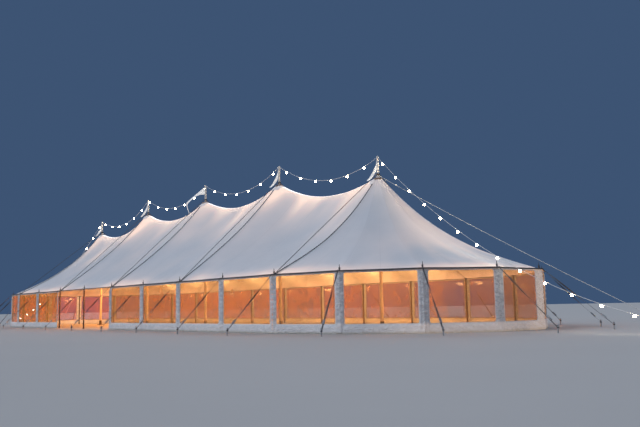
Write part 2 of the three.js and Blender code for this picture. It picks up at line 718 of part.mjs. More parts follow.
// The rows of side poles and the guy lines. The poles of the corners belong to the front and the back.
const RIGHT_CORNER = SIDE_BAYS;
const BACK_CORNER = HALF_ROUND;
const LEFT_CORNER = HALF_ROUND + SIDE_BAYS;
const ROUND = 2 * HALF_ROUND;
const rows = {
  front: [0, RIGHT_CORNER, 0, RIGHT_CORNER],
  right_end: [RIGHT_CORNER + 1, BACK_CORNER - 1, RIGHT_CORNER, BACK_CORNER],
  back: [BACK_CORNER, LEFT_CORNER, BACK_CORNER, LEFT_CORNER],
  left_end: [LEFT_CORNER + 1, ROUND - 1, LEFT_CORNER, ROUND],
};
for (const [side, places] of Object.entries(rows)) {
  tent.add(mesh(`side_poles_${side}`, toGeometry(sidePoleRow(...places)), POLE_FINISH));
  tent.add(mesh(`guy_lines_${side}`, toGeometry(guySet(...places)), DARK_ROPE));
}

// The walls. Two bays of the front, left of its middle, are open as the way in.
const walls = {
  front_left: [0, 2],
  front_right: [SIDE_BAYS / 2, RIGHT_CORNER],
  right_end: [RIGHT_CORNER, BACK_CORNER],
  back: [BACK_CORNER, LEFT_CORNER],
  left_end: [LEFT_CORNER, ROUND],
};
for (const [side, places] of Object.entries(walls)) {
  tent.add(mesh(`wall_${side}`, toGeometry(windowWall(...places)), WALL_CLOTH));
  tent.add(mesh(`window_sheet_${side}`, clearSheet(...places), CLEAR_SHEET));
}

// The stays of both ends; the left end mirrors the right one.
const stays = { storm_stay: [stormStay(), PALE_ROPE], lamp_stay: [lampStay(), LAMP_GLASS] };
for (const [name, [solid, finish]] of Object.entries(stays)) {
  const geometry = toGeometry(solid);
  const right = mesh(`${name}_right`, geometry, finish);
  const left = mesh(`${name}_left`, mirrored(geometry), finish);
  right.position.x = HALF_LENGTH;
  left.position.x = -HALF_LENGTH;
  tent.add(right, left);
}
tent.add(mesh('lamp_string', toGeometry(lampString()), LAMP_GLASS));

export default tent;
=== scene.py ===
# A pole tent with five king poles, rounded ends and window walls, with its finished surfaces.
# Metres, +Z up, at half size. X runs along the ridge, and the open bays are on the -Y side.
import math

import bmesh
import bpy
from mathutils import Matrix, Vector, noise


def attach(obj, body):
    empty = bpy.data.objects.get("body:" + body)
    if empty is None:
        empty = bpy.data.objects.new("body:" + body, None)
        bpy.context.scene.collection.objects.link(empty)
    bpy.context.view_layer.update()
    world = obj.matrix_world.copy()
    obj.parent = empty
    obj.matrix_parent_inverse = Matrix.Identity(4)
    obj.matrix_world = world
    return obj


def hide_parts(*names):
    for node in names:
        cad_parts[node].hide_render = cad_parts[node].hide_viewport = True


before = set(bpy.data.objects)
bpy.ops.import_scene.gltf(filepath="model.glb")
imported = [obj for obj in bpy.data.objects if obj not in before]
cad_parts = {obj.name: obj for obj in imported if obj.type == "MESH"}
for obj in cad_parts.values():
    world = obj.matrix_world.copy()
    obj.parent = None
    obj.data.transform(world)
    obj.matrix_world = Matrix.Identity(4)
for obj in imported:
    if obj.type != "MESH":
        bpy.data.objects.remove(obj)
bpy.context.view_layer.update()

SCALE = 0.5

# The plan of the tent and the heights of its roof: the real size times the scale of the model.
KING_COUNT = 5
LAST_KING = KING_COUNT - 1
KING_GAP = 6.096 * SCALE
SIDE_GAP = KING_GAP / 2
SIDE_BAYS = 2 * LAST_KING
END_BAYS = 7
HALF_ROUND = SIDE_BAYS + END_BAYS
ROUND = 2 * HALF_ROUND
HALF_LENGTH = LAST_KING * KING_GAP / 2
HALF_WIDTH = 4.877 * SCALE
END_REACH = 6.096 * SCALE
EAVE_HEIGHT = 1.89 * SCALE
MIDDLE_PEAK = 6.12 * SCALE
END_PEAK = 5.57 * SCALE
MIDDLE_MAST = 6.98 * SCALE
END_MAST = 6.39 * SCALE
RIDGE_SAG = 0.6 * SCALE
MIDDLE_SEAM_SAG = 0.3 * SCALE
END_SEAM_SAG = 0.5 * SCALE
END_SAG = 0.64 * SCALE
SAG_SKEW = 0.35
CROWN_FLAT = 0.05
CREST_ROUNDING = 0.03
HEM_INSIDE = 0.025
HEM_OUTSIDE = 0.048
HEM_LIP = 0.004
LIP_SHARE = 0.95
HALF_GAP = 0.00015
MAST_HOLE = 0.03
CLOTH_THICKNESS = 0.003
PANEL_WIDTH = KING_GAP / 4

# The rounded ends, each with the sign of its X and its king pole, and the runs of side poles, by their
# first and last pole.
ENDS = (("right", 1, LAST_KING), ("left", -1, 0))
RUNS = {
    "front": (0, SIDE_BAYS),
    "right_end": (SIDE_BAYS, HALF_ROUND),
    "back": (HALF_ROUND, HALF_ROUND + SIDE_BAYS),
    "left_end": (HALF_ROUND + SIDE_BAYS, ROUND),
}

# The creases and waves that the pull of poles and ropes makes in the cloth.
CREASE_HEIGHT = 0.0045
CREASE_REACH = 0.5
CREASE_COUNT = 8
FLUTE_HEIGHT = 0.003
END_FLUTE_HEIGHT = 0.006
FLUTE_REACH = 0.6
FLUTES_PER_BAY = 3
BROAD_HEIGHT = 0.009
FINE_HEIGHT = 0.3 * BROAD_HEIGHT

# How far the light inside shows through the cloth from the crowns, the ridge and the hem, and, as an angle
# at the king pole, from the middle of each end.
CROWN_GLOW_REACH = 0.6
RIDGE_GLOW_REACH = 0.12
SLOPE_GLOW_REACH = 0.7
HEM_GLOW_REACH = 0.2
END_GLOW_ANGLE = 0.55

# How finely the canopy's cloth is divided.
BAY_COLUMNS = 76
BAY_ROWS = 58
END_ROWS_PER_BAY = 14
END_COLUMNS = 62
CROWDING = 0.5
SLOPE_CROWDING = 1.25
LENGTH_STEPS = 60

# What is sewn and laced on the canopy: patches on the crowns, a band on the ridge and flaps over the seams.
PATCH_RADIUS = 0.17
PATCH_SIDES = 64
PATCH_THICKNESS = 0.002
PATCH_LIFT = 0.0045
SCALLOPS = 8
SCALLOP_DEPTH = 0.06
STRIP_LIFT = 0.003
STRIP_THICKNESS = 0.0015
BAND_HALF = 0.034
BAND_STEPS = 70
FLAP_HALF = 0.023
FLAP_STEPS = 80
LACING_STEPS = 40
LACING_GAP = 0.055
LACING_RADIUS = 0.0032
LOOP_HALF_LENGTH = 0.026
LOOP_HALF_WIDTH = 0.0085
LOOP_SIDES = 12
SEAM_CORD_RADIUS = 0.006
KNOT_GAP = 0.47

# King poles and side poles.
KING_FOOT_RADIUS = 0.22 * SCALE
KING_BOTTOM_RADIUS = 0.07 * SCALE
KING_TOP_RADIUS = 0.042 * SCALE
COLLAR_DROP = 0.0063
CROWN_LASHING_RADIUS = 0.0035
CROWN_LASHING_HEIGHT = 0.02
CROWN_LASHING_LIFT = 0.02
END_LASHING_LIFT = 0.036
CROWN_LASHING_TURNS = 3.3
CROWN_ROPE_RADIUS = 0.006
CROWN_TURNS = 3
TURN_STEPS = 24
TAIL_INNER = 0.048
TAIL_OUTER = 0.085
MAST_SIDES = 32
POLE_RADIUS = 0.036 * SCALE
POLE_SHOULDER = EAVE_HEIGHT - 0.0063
PIN_RADIUS = 0.014 * SCALE
PIN_TOP = EAVE_HEIGHT + 0.2 * SCALE
WALL_ROPE_OFFSET = 0.042 * SCALE
WALL_ROPE_HEIGHT = 1.83 * SCALE
WALL_ROPE_RADIUS = 0.0042

# Walls and clear sheets, as distances outside the line of the poles, and their windows.
SHEET_OFFSET = 0.0278
SHEET_MARGIN = 0.013
SHEET_THICKNESS = 0.0006
SHEET_COLUMNS = 24
SHEET_LEVELS = 12
WALL_OFFSET = 0.0326
WALL_HEIGHT = 0.931
WALL_THICKNESS = 0.0022
WINDOW_LOW = 0.145
WINDOW_HIGH = 0.912
WINDOW_CORNER = 0.03
PILLAR_HALF = 0.075
MIDDLE_BAY_PILLARS = (0.1, 0.18)

# The walls by their first and last pole, the poles where a wall hangs free beside the way in, and the
# distance that stands for no such pole.
WALLS = {
    "front_left": (0, 2),
    "front_right": (SIDE_BAYS // 2, SIDE_BAYS),
    "right_end": RUNS["right_end"],
    "back": RUNS["back"],
    "left_end": RUNS["left_end"],
}
FREE_EDGES = {2, SIDE_BAYS // 2}
NO_FREE_EDGE = 10.0

# How finely a wall is divided round its windows, and the share of a bay in which it turns at a corner.
ARC_STEPS = 4
LONG_STEPS = 34
HIGH_STEPS = 56
RING_STEPS = 9
CORNER_SHARE = 0.12

# The section of a window's binding, as distances out from the window's edge and off the cloth.
BINDING_SECTION = (
    (-0.004, 0.0), (-0.004, 0.0026), (0.0, 0.0034), (0.008, 0.0034), (0.0105, 0.0026), (0.011, 0.0),
)

# The webbing, the guy lines, their straps and their stakes.
WEBBING_OFFSET = 0.0508
WEBBING_THICKNESS = 0.0048
WEBBING_STEPS = 16
WEBBING_LOW = 0.929
WEBBING_HIGH = 0.951
GUY_REACH = 0.9
MIDDLE_GUY_REACH = 1.1
GUY_RADIUS = 0.004
GUY_START_HEIGHT = 0.937
GUY_END_HEIGHT = 0.075
STRAP_WIDTH = 0.022
STRAP_THICKNESS = 0.002
STRAP_STEPS = 44
LASHING_RADIUS = 0.0045
PIN_LASHING_LOW = 0.016
PIN_LASHING_HIGH = 0.05
PIN_LASHING_TURNS = 4.3
STAKE_LASHING_RISE = 0.008
HITCH_TURNS = 2.2
TENSIONER_START = 0.82
STAKE_RADIUS = 0.01
STAKE_HEIGHT = 0.115

# Ropes over the roof, the stays of both ends and the lamps.
ROPE_GROOVE = 0.72
SEAM_ROPE_RADIUS = 0.0065
SEAM_ROPE_RISE = 0.066
SEAM_ROPE_COIL_RISE = 0.012
SEAM_ROPE_TURNS = 2.6
STAY_TURN = math.radians(8)
STORM_RISE = 0.022
STORM_REACH = 4.95
STORM_SAG = 0.04
STORM_RADIUS = 0.006
STORM_STEPS = 40
STORM_HITCH_RISE = 0.012
LAMP_STAY_REACH = 6.1
LAMP_STAY_SAG = 0.575
LAMP_STAY_DROP = 0.049
LAMP_STAY_STEPS = 60
LAMP_STRING_DROP = 0.034
LAMP_STRING_SAG = 0.36
LAMP_STRING_STEPS = 36
LAMP_CORD_RADIUS = 0.0035
LAMP_HITCH_RISE = 0.006
LAMP_GAP = 0.4825
LAMP_RADIUS = 0.0175
LAMP_LOW = -0.043
FIRST_LAMP_ON_STAY = 0.1675
FIRST_LAMP_ON_STRING = 0.24
LAMP_BEFORE_MAST = 0.042
LAMP_BEHIND_MAST = 0.063

# Pennants. The edges of a pennant are distances out from the mast and above the top of its hoist.
PENNANT_DROP = 0.058
PENNANT_THICKNESS = 0.001
PENNANT_COLUMNS = 60
PENNANT_ROWS = 12
WIND_TURN = math.radians(-130)
FLYING_PENNANT = 2
FLYING_EDGES = (
    ((0, 0), (0.132, -0.099), (0.26, -0.206), (0.403, -0.335), (0.452, -0.415), (0.437, -0.507),
     (0.388, -0.649)),
    ((0, -0.178), (0.135, -0.185), (0.24, -0.242), (0.372, -0.36), (0.43, -0.424), (0.424, -0.508),
     (0.376, -0.651)),
)
LIMP_EDGES = (
    ((0, 0), (0.004, -0.06), (0.015, -0.115), (0.05, -0.198), (0.098, -0.281), (0.14, -0.353),
     (0.193, -0.412)),
    ((0, -0.09), (0.001, -0.137), (0.003, -0.177), (0.012, -0.232), (0.05, -0.305), (0.098, -0.365),
     (0.16, -0.418)),
)

# The making of meshes: points nearer than the weld are one, and edges sharper than the angle stay sharp.
WELD = 1e-5
EDGE_ANGLE = math.radians(35)

# The light: the even background, the soft lights by name, place, strength and colour, and the colours
# of the lamps inside.
BACKGROUND = (0.047, 0.088, 0.172, 1)
SOFT_LIGHTS = (
    ("key", (-10.0, -25.0, 20.0), 1.5, (0.92, 0.95, 1.0)),
    ("fill", (24.0, 20.0, 20.0), 0.42, (0.95, 0.96, 1.0)),
    ("back", (-22.0, 20.0, 16.0), 0.8, (0.93, 0.95, 1.0)),
)
SOFT_LIGHT_ANGLE = math.radians(40)
AMBER = (1.0, 0.3, 0.035)
STRAW = (1.0, 0.52, 0.17)
UNLIT = (0.0, 0.0, 0.0, 1)

# How far the floor reaches from the middle.
FLOOR_REACH = 450.0

# The camera, as it stood when the picture was taken.
IMAGE_WIDTH = 640
FOCAL_PIXELS = 737.4
SENSOR_WIDTH = 36.0
CAMERA_PLACE = Vector((15.722, -9.6075, 0.3945))
CAMERA_YAW = -0.8670
CAMERA_PITCH = 0.1272
CAMERA_ROLL = -0.0183


def clamp(value, low=0.0, high=1.0):
    return max(low, min(high, value))


def lerp(first, second, share):
    return first + (second - first) * share


def smooth(value):
    value = clamp(value)
    return value * value * (3 - 2 * value)


def fade(distance, reach):
    """1 at no distance, falling to nothing some way past the reach."""
    return math.exp(-((distance / reach) ** 2))


def cloud(x, y, layer):
    """Smooth noise from 0 to 1, with a pattern of its own for each layer."""
    return 0.5 + 0.5 * noise.noise((x, y, layer))


def ripple(distance, wavelength, bend=0.0):
    """A wave from 0 to 1 along a distance."""
    return 0.5 + 0.5 * math.sin(distance * 2 * math.pi / wavelength + bend)


def king_x(king):
    return king * KING_GAP - HALF_LENGTH


def is_end(king):
    return king in (0, LAST_KING)


def peak_height(king):
    return END_PEAK if is_end(king) else MIDDLE_PEAK


def mast_height(king):
    return END_MAST if is_end(king) else MIDDLE_MAST


def seam_sag(king):
    return END_SEAM_SAG if is_end(king) else MIDDLE_SEAM_SAG


def mast_radius(king, height):
    return lerp(KING_BOTTOM_RADIUS, KING_TOP_RADIUS, height / mast_height(king))


def pole_places():
    """The side poles' places, anticlockwise from the front's left corner."""
    half = [Vector((i * SIDE_GAP - HALF_LENGTH, -HALF_WIDTH)) for i in range(SIDE_BAYS + 1)]
    for i in range(1, END_BAYS):
        turn = i * math.pi / END_BAYS
        half.append(Vector((HALF_LENGTH + END_REACH * math.sin(turn), -HALF_WIDTH * math.cos(turn))))
    return half + [-place for place in half]


POLES = pole_places()


def pole_at(index):
    return POLES[index % ROUND]


def chord(index):
    return (pole_at(index + 1) - pole_at(index)).normalized()


def chord_normal(index):
    along = chord(index)
    return Vector((along.y, -along.x))


def mitre(index):
    """How far a corner of an outline moves for each metre that the outline lies outside the poles."""
    before, after = chord_normal(index - 1), chord_normal(index)
    return (before + after) / (1 + before.dot(after))


def outward_point(index, distance):
    return pole_at(index) + mitre(index) * distance


def is_middle_bay(index):
    """Whether the bay from pole index is the middle one of a rounded end."""
    return index % HALF_ROUND == SIDE_BAYS + END_BAYS // 2


def guy_direction(index):
    place = pole_at(index)
    return (place - Vector((clamp(place.x, -HALF_LENGTH, HALF_LENGTH), 0))).normalized()


def end_hem(distance):
    """The corners of the right end's hem, from the end king pole."""
    corners = [outward_point(SIDE_BAYS + i, distance) - Vector((HALF_LENGTH, 0)) for i in range(1, END_BAYS)]
    return [Vector((0, -HALF_WIDTH - distance)), *corners, Vector((0, HALF_WIDTH + distance))]


END_HEM_INNER = end_hem(-HEM_INSIDE)
END_HEM_OUTER = end_hem(HEM_OUTSIDE)


def end_turn(x, y):
    """Which bay of an end's hem a plan point looks at from the king pole, and the hem's distance there."""
    point = Vector((abs(x) - HALF_LENGTH, y))
    for bay in range(END_BAYS):
        first, second = END_HEM_INNER[bay], END_HEM_INNER[bay + 1]
        before, after = first.cross(point), point.cross(second)
        if before >= 0 and after >= 0 and before + after > 0:
            share = before / (before + after)
            return bay + share, first.lerp(second, share).length
    return (0.0, HALF_WIDTH) if y < 0 else (float(END_BAYS), HALF_WIDTH)


def slope_height(part, top, sag):
    drop = 4 * sag * part * (1 - part) * (1 + SAG_SKEW * (1 - 2 * part))
    return lerp(top, EAVE_HEIGHT, part) - drop


def slope_part(distance, reach):
    """How far down its slope the cloth is, from 0 at the crest to 1 at the hem, with a rounded crest."""
    def rounded(place):
        over = place - CROWN_FLAT
        return (over + math.hypot(over, CREST_ROUNDING)) / 2
    return min(1.0, rounded(distance) / rounded(reach))


def cloth_height(x, y):
    """The height of the taut cloth over a plan point."""
    if abs(x) > HALF_LENGTH:
        turn, reach = end_turn(x, y)
        sag = lerp(END_SEAM_SAG, END_SAG, math.sin(turn * math.pi / END_BAYS))
        part = slope_part(math.hypot(abs(x) - HALF_LENGTH, y), reach)
        return slope_height(part, END_PEAK, sag)
    bay = int(clamp((x + HALF_LENGTH) / KING_GAP, 0, LAST_KING - 1))
    across = clamp((x - king_x(bay) - CROWN_FLAT) / (KING_GAP - 2 * CROWN_FLAT))
    top = lerp(peak_height(bay), peak_height(bay + 1), across) - 4 * RIDGE_SAG * across * (1 - across)
    sag = lerp(seam_sag(bay), seam_sag(bay + 1), across)
    return slope_height(slope_part(abs(y), HALF_WIDTH - HEM_INSIDE), top, sag)


def hem_place(x, y):
    """Of a plan point: its distance from the hem's inner line, its distance aside of the nearest side pole,
    and the length of the bay there."""
    if abs(x) > HALF_LENGTH:
        turn, reach = end_turn(x, y)
        bay = int(min(turn, END_BAYS - 1))
        length = (END_HEM_INNER[bay] - END_HEM_INNER[bay + 1]).length
        out = math.hypot(abs(x) - HALF_LENGTH, y)
        return reach - out, (turn - round(turn)) * length * clamp(out / reach), length
    nearest = round((x + HALF_LENGTH) / SIDE_GAP) * SIDE_GAP - HALF_LENGTH
    return HALF_WIDTH - HEM_INSIDE - abs(y), x - nearest, SIDE_GAP


def flute(x, y, aside, length):
    """The wave of the soft flutes that run up from the hem, from -1 to 1."""
    wander = 4 * noise.noise((x * 0.8, y * 0.8, 7.0))
    return math.cos(2 * math.pi * FLUTES_PER_BAY * aside / length + wander)


def round_end(x):
    """0 along the straight sides, rising to 1 in the rounded ends."""
    return smooth((abs(x) - HALF_LENGTH) / 0.6)


def relief(x, y):
    """The creases that the cloth's pull makes: rays from each side pole, flutes above the hem, and waves."""
    inward, aside, length = hem_place(x, y)
    inward = max(inward, 0.0)
    far = math.hypot(inward, aside)
    ray = math.cos(CREASE_COUNT * math.atan2(aside, inward + 0.05) + 2.5 * noise.noise((x, y, 3.0)))
    rays = CREASE_HEIGHT * ray * fade(far, CREASE_REACH) * smooth(far / 0.15)
    high = lerp(FLUTE_HEIGHT, END_FLUTE_HEIGHT, round_end(x))
    flutes = high * flute(x, y, aside, length) * fade(inward, FLUTE_REACH) * smooth(inward / 0.1)
    broad = BROAD_HEIGHT * noise.noise((x * 1.1, y * 1.1, 0.0)) * smooth(inward / 0.4)
    fine = FINE_HEIGHT * noise.noise((x * 3.7, y * 3.7, 5.0)) * smooth(inward / 0.2)
    return rays + flutes + broad + fine


def cloth_top(x, y):
    return cloth_height(x, y) + relief(x, y)


def nearest_king(x):
    return int(clamp(round((x + HALF_LENGTH) / KING_GAP), 0, LAST_KING))


def facing_end(x, y):
    """How near a plan point of a rounded end lies to the line straight out from its king pole, 0 to 1."""
    return fade(math.atan2(abs(y), max(abs(x) - HALF_LENGTH, 0.01)), END_GLOW_ANGLE)


def lamplight(x, y):
    """How much of the warm light inside shines through the cloth over a plan point, from 0 to 1."""
    king = nearest_king(x)
    inward, aside, length = hem_place(x, y)
    inward = max(inward, 0.0)
    patches = clamp(0.5 + 1.5 * noise.noise((x * 1.3, y * 1.1, 11.0)))
    streaks = clamp(0.5 + 1.1 * noise.noise((x * 2.6, y * 0.7, 21.0)))
    from_crown = math.hypot(x - king_x(king), y)
    crown = (0.45 + 0.4 * patches) * fade(from_crown, CROWN_GLOW_REACH) * (1 - 0.8 * round_end(x))
    if is_end(king):
        crown *= 0.55
    ridge = 0.0
    if abs(x) < HALF_LENGTH:
        ridge = 0.46 * fade(y, RIDGE_GLOW_REACH) + (0.2 + patches * streaks) * fade(y, SLOPE_GLOW_REACH)
    hem = (0.3 + 0.4 * patches) * fade(inward, HEM_GLOW_REACH)
    streak = 0.26 * (0.5 + 0.5 * flute(x, y, aside, length)) ** 2 * fade(inward - 0.7, 0.42)
    end = (streak + 0.36 * smooth((inward - 0.6) / 0.6)) * facing_end(x, y)
    return clamp(crown + ridge + hem + end * round_end(x) + 0.1 * patches)


class Nodes:
    """Short calls that add nodes to one tree."""

    def __init__(self, tree):
        self.tree = tree

    def add(self, kind, inputs=None, **settings):
        node = self.tree.nodes.new(kind)
        for key, value in settings.items():
            setattr(node, key, value)
        self.feed(node, inputs or {})
        return node

    def feed(self, node, inputs):
        """Links each input to the socket given for it, or sets it to the value given."""
        for key, value in inputs.items():
            socket = node.inputs[key]
            if isinstance(value, bpy.types.NodeSocket):
                self.tree.links.new(value, socket)
            else:
                socket.default_value = value

    def math(self, operation, first, second=0.0, clamped=False):
        node = self.add("ShaderNodeMath", {0: first, 1: second}, operation=operation, use_clamp=clamped)
        return node.outputs[0]

    def times(self, first, second, clamped=False):
        return self.math("MULTIPLY", first, second, clamped)

    def plus(self, first, second, clamped=False):
        return self.math("ADD", first, second, clamped)

    def minus(self, first, second, clamped=False):
        return self.math("SUBTRACT", first, second, clamped)

    def mix(self, share, first, second):
        node = self.add("ShaderNodeMix", data_type="RGBA")
        self.feed(node, {0: share, 6: first, 7: second})
        return node.outputs[2]

    def ramp(self, value, low, high):
        """A value that runs from 0 to 1 as the given one runs from low to high."""
        node = self.add("ShaderNodeMapRange", {"Value": value, "From Min": low, "From Max": high})
        return node.outputs[0]

    def ramp_between(self, value, first, second):
        """A value that runs from first to second as the given one runs from 0 to 1."""
        node = self.add("ShaderNodeMapRange", {"Value": value, "To Min": first, "To Max": second})
        return node.outputs[0]

    def split(self, vector):
        """The X, Y and Z of a vector."""
        return self.add("ShaderNodeSeparateXYZ", {0: vector}).outputs

    def drawn(self, vector, scale):
        """Coordinates on which a pattern is drawn closer along each axis, by the scale."""
        return self.add("ShaderNodeMapping", {"Vector": vector, "Scale": scale}).outputs[0]

    def cloud(self, vector, scale, detail, **more):
        """Smooth noise over the given coordinates."""
        inputs = {"Vector": vector, "Scale": scale, "Detail": detail, **more}
        return self.add("ShaderNodeTexNoise", inputs).outputs["Fac"]


def new_group(name, kind, inputs, outputs):
    """A node group with named inputs and outputs: its tree, nodes, what it is given and what it puts out."""
    tree = bpy.data.node_groups.new(name, kind)
    for socket, (sort, value) in inputs.items():
        made = tree.interface.new_socket(name=socket, in_out="INPUT", socket_type=sort)
        if value is not None:
            made.default_value = value
    for socket, sort in outputs.items():
        tree.interface.new_socket(name=socket, in_out="OUTPUT", socket_type=sort)
    nodes = Nodes(tree)
    return tree, nodes, nodes.add("NodeGroupInput").outputs, nodes.add("NodeGroupOutput")


FLOAT, VECTOR, COLOUR = "NodeSocketFloat", "NodeSocketVector", "NodeSocketColor"


def weave_group():
    """Crossing threads with slubs, for cloth."""
    tree, nodes, given, out = new_group(
        "woven threads", "ShaderNodeTree",
        {"Vector": (VECTOR, None), "Threads": (FLOAT, 300.0), "Slub": (FLOAT, 0.4)},
        {"Height": FLOAT},
    )
    parts = nodes.split(given["Vector"])
    waves = [nodes.math("SINE", nodes.times(parts[axis], given["Threads"])) for axis in ("X", "Y")]
    slubs = nodes.times(nodes.cloud(given["Vector"], 35.0, 3.0), given["Slub"])
    nodes.feed(out, {"Height": nodes.plus(nodes.times(*waves), slubs)})
    return tree


def mottle_group():
    """Soft patches of lighter and darker tone."""
    tree, nodes, given, out = new_group(
        "soft patches", "ShaderNodeTree",
        {"Vector": (VECTOR, None), "Scale": (FLOAT, 2.0), "Contrast": (FLOAT, 1.0)},
        {"Tone": FLOAT},
    )
    patches = nodes.cloud(given["Vector"], given["Scale"], 4.0, Roughness=0.6)
    spread = nodes.times(nodes.minus(patches, 0.5), given["Contrast"])
    nodes.feed(out, {"Tone": nodes.plus(spread, 0.5, clamped=True)})
    return tree


def ground_group():
    """How much grime and damp lies on a surface close to the ground."""
    tree, nodes, given, out = new_group(
        "grime near the ground", "ShaderNodeTree",
        {"Vector": (VECTOR, None), "Rise": (FLOAT, 0.06)},
        {"Mask": FLOAT},
    )
    height = nodes.split(given["Vector"])["Z"]
    ragged = nodes.times(nodes.cloud(given["Vector"], 14.0, 5.0), given["Rise"])
    low = nodes.math("DIVIDE", nodes.minus(height, ragged), given["Rise"])
    nodes.feed(out, {"Mask": nodes.minus(1.0, low, clamped=True)})
    return tree


def grain_group():
    """The grain of a pole whose length runs upwards: long streaks and fine pores."""
    dark, light = (0.1, 0.06, 0.03, 1), (0.4, 0.25, 0.12, 1)
    tree, nodes, given, out = new_group(
        "upright grain", "ShaderNodeTree",
        {"Vector": (VECTOR, None), "Dark": (COLOUR, dark), "Light": (COLOUR, light)},
        {"Color": COLOUR, "Height": FLOAT},
    )
    streaks = nodes.cloud(nodes.drawn(given["Vector"], (60.0, 60.0, 2.2)), 1.0, 6.0)
    pores = nodes.cloud(nodes.drawn(given["Vector"], (400.0, 400.0, 12.0)), 1.0, 2.0)
    height = nodes.times(streaks, pores)
    colour = nodes.mix(nodes.ramp(height, 0.12, 0.4), given["Dark"], given["Light"])
    nodes.feed(out, {"Color": colour, "Height": height})
    return tree


def crumple_group():
    """Sharp little folds that cross each other, as in cloth that has been packed."""
    tree, nodes, given, out = new_group(
        "crumpled cloth", "ShaderNodeTree",
        {"Vector": (VECTOR, None), "Scale": (FLOAT, 20.0)},
        {"Height": FLOAT},
    )

    def folded(tone):
        """Folds a smooth tone sharply along its middle."""
        return nodes.math("ABSOLUTE", nodes.minus(tone, 0.5))

    broad = folded(nodes.cloud(given["Vector"], given["Scale"], 2.0, Distortion=0.8))
    fine = folded(nodes.cloud(given["Vector"], nodes.times(given["Scale"], 2.6), 2.0))
    both = nodes.plus(broad, nodes.times(fine, 0.5))
    nodes.feed(out, {"Height": nodes.times(both, 3.0)})
    return tree


WEAVE = weave_group()
CRUMPLE = crumple_group()
MOTTLE = mottle_group()
GROUND = ground_group()
GRAIN = grain_group()


def new_material(name, plain):
    """A material with one Principled shader, whose plain inputs are set on its own sockets: the material,
    its nodes, the shader and the coordinates."""
    material = bpy.data.materials.new(name)
    material.use_nodes = True
    nodes = Nodes(material.node_tree)
    shader = material.node_tree.nodes["Principled BSDF"]
    nodes.feed(shader, plain)
    return material, nodes, shader, nodes.add("ShaderNodeTexCoord").outputs


def placed(nodes, group, **inputs):
    """What a node group puts out for the given inputs."""
    node = nodes.add("ShaderNodeGroup", node_tree=group)
    nodes.feed(node, inputs)
    return node.outputs


def mottled(nodes, place, scale, contrast):
    return placed(nodes, MOTTLE, Vector=place["Object"], Scale=scale, Contrast=contrast)["Tone"]


def woven(nodes, place, threads, slub):
    return placed(nodes, WEAVE, Vector=place["Object"], Threads=threads, Slub=slub)["Height"]


def grime(nodes, place, rise):
    return placed(nodes, GROUND, Vector=place["Object"], Rise=rise)["Mask"]


def shine_through(nodes):
    """The light that shines through the cloth, as kept at the points of its mesh."""
    return nodes.add("ShaderNodeAttribute", attribute_name="lamplight").outputs["Fac"]


def bump(nodes, shader, height, strength, distance):
    made = nodes.add("ShaderNodeBump", {"Height": height, "Strength": strength, "Distance": distance})
    nodes.feed(shader, {"Normal": made.outputs["Normal"]})


def seam_mask(nodes, place, spacing, half_width):
    """A thin line at every multiple of the spacing along the U of the cloth's own map."""
    folded = nodes.math("PINGPONG", nodes.split(place["UV"])["X"], spacing / 2)
    return nodes.times(nodes.minus(half_width, folded), 4 / half_width, clamped=True)


def sailcloth():
    """White cloth in sewn panels, warm where the light inside shines through."""
    material, nodes, shader, place = new_material("sailcloth", {
        "Roughness": 0.7, "Specular IOR Level": 0.3, "Sheen Weight": 0.6, "Sheen Roughness": 0.3,
        "Emission Strength": 0.56})
    light = shine_through(nodes)
    cool = nodes.mix(mottled(nodes, place, 1.6, 0.9), (0.58, 0.62, 0.66, 1), (0.76, 0.76, 0.78, 1))
    warm = nodes.mix(light, cool, (0.95, 0.84, 0.77, 1))
    seams = seam_mask(nodes, place, PANEL_WIDTH, 0.006)
    nodes.feed(shader, {
        "Base Color": nodes.mix(nodes.times(seams, 0.22), warm, (0.42, 0.42, 0.46, 1)),
        "Emission Color": nodes.mix(nodes.math("POWER", light, 1.3), UNLIT, (1.0, 0.56, 0.33, 1)),
    })
    height = nodes.plus(nodes.times(seams, 2.0), woven(nodes, place, 900.0, 0.5))
    bump(nodes, shader, height, 0.12, 0.002)
    return material


def doubled_cloth(name, tone_low, tone_high, shine=0.0):
    """Strips and patches of a second layer of cloth, stitched down; shine is the light that comes through."""
    material, nodes, shader, place = new_material(name, {
        "Roughness": 0.8, "Specular IOR Level": 0.25, "Sheen Weight": 0.1, "Emission Strength": shine})
    colour = nodes.mix(mottled(nodes, place, 9.0, 1.0), tone_low, tone_high)
    nodes.feed(shader, {"Base Color": colour, "Emission Color": colour})
    bump(nodes, shader, woven(nodes, place, 1500.0, 1.0), 0.2, 0.0015)
    return material


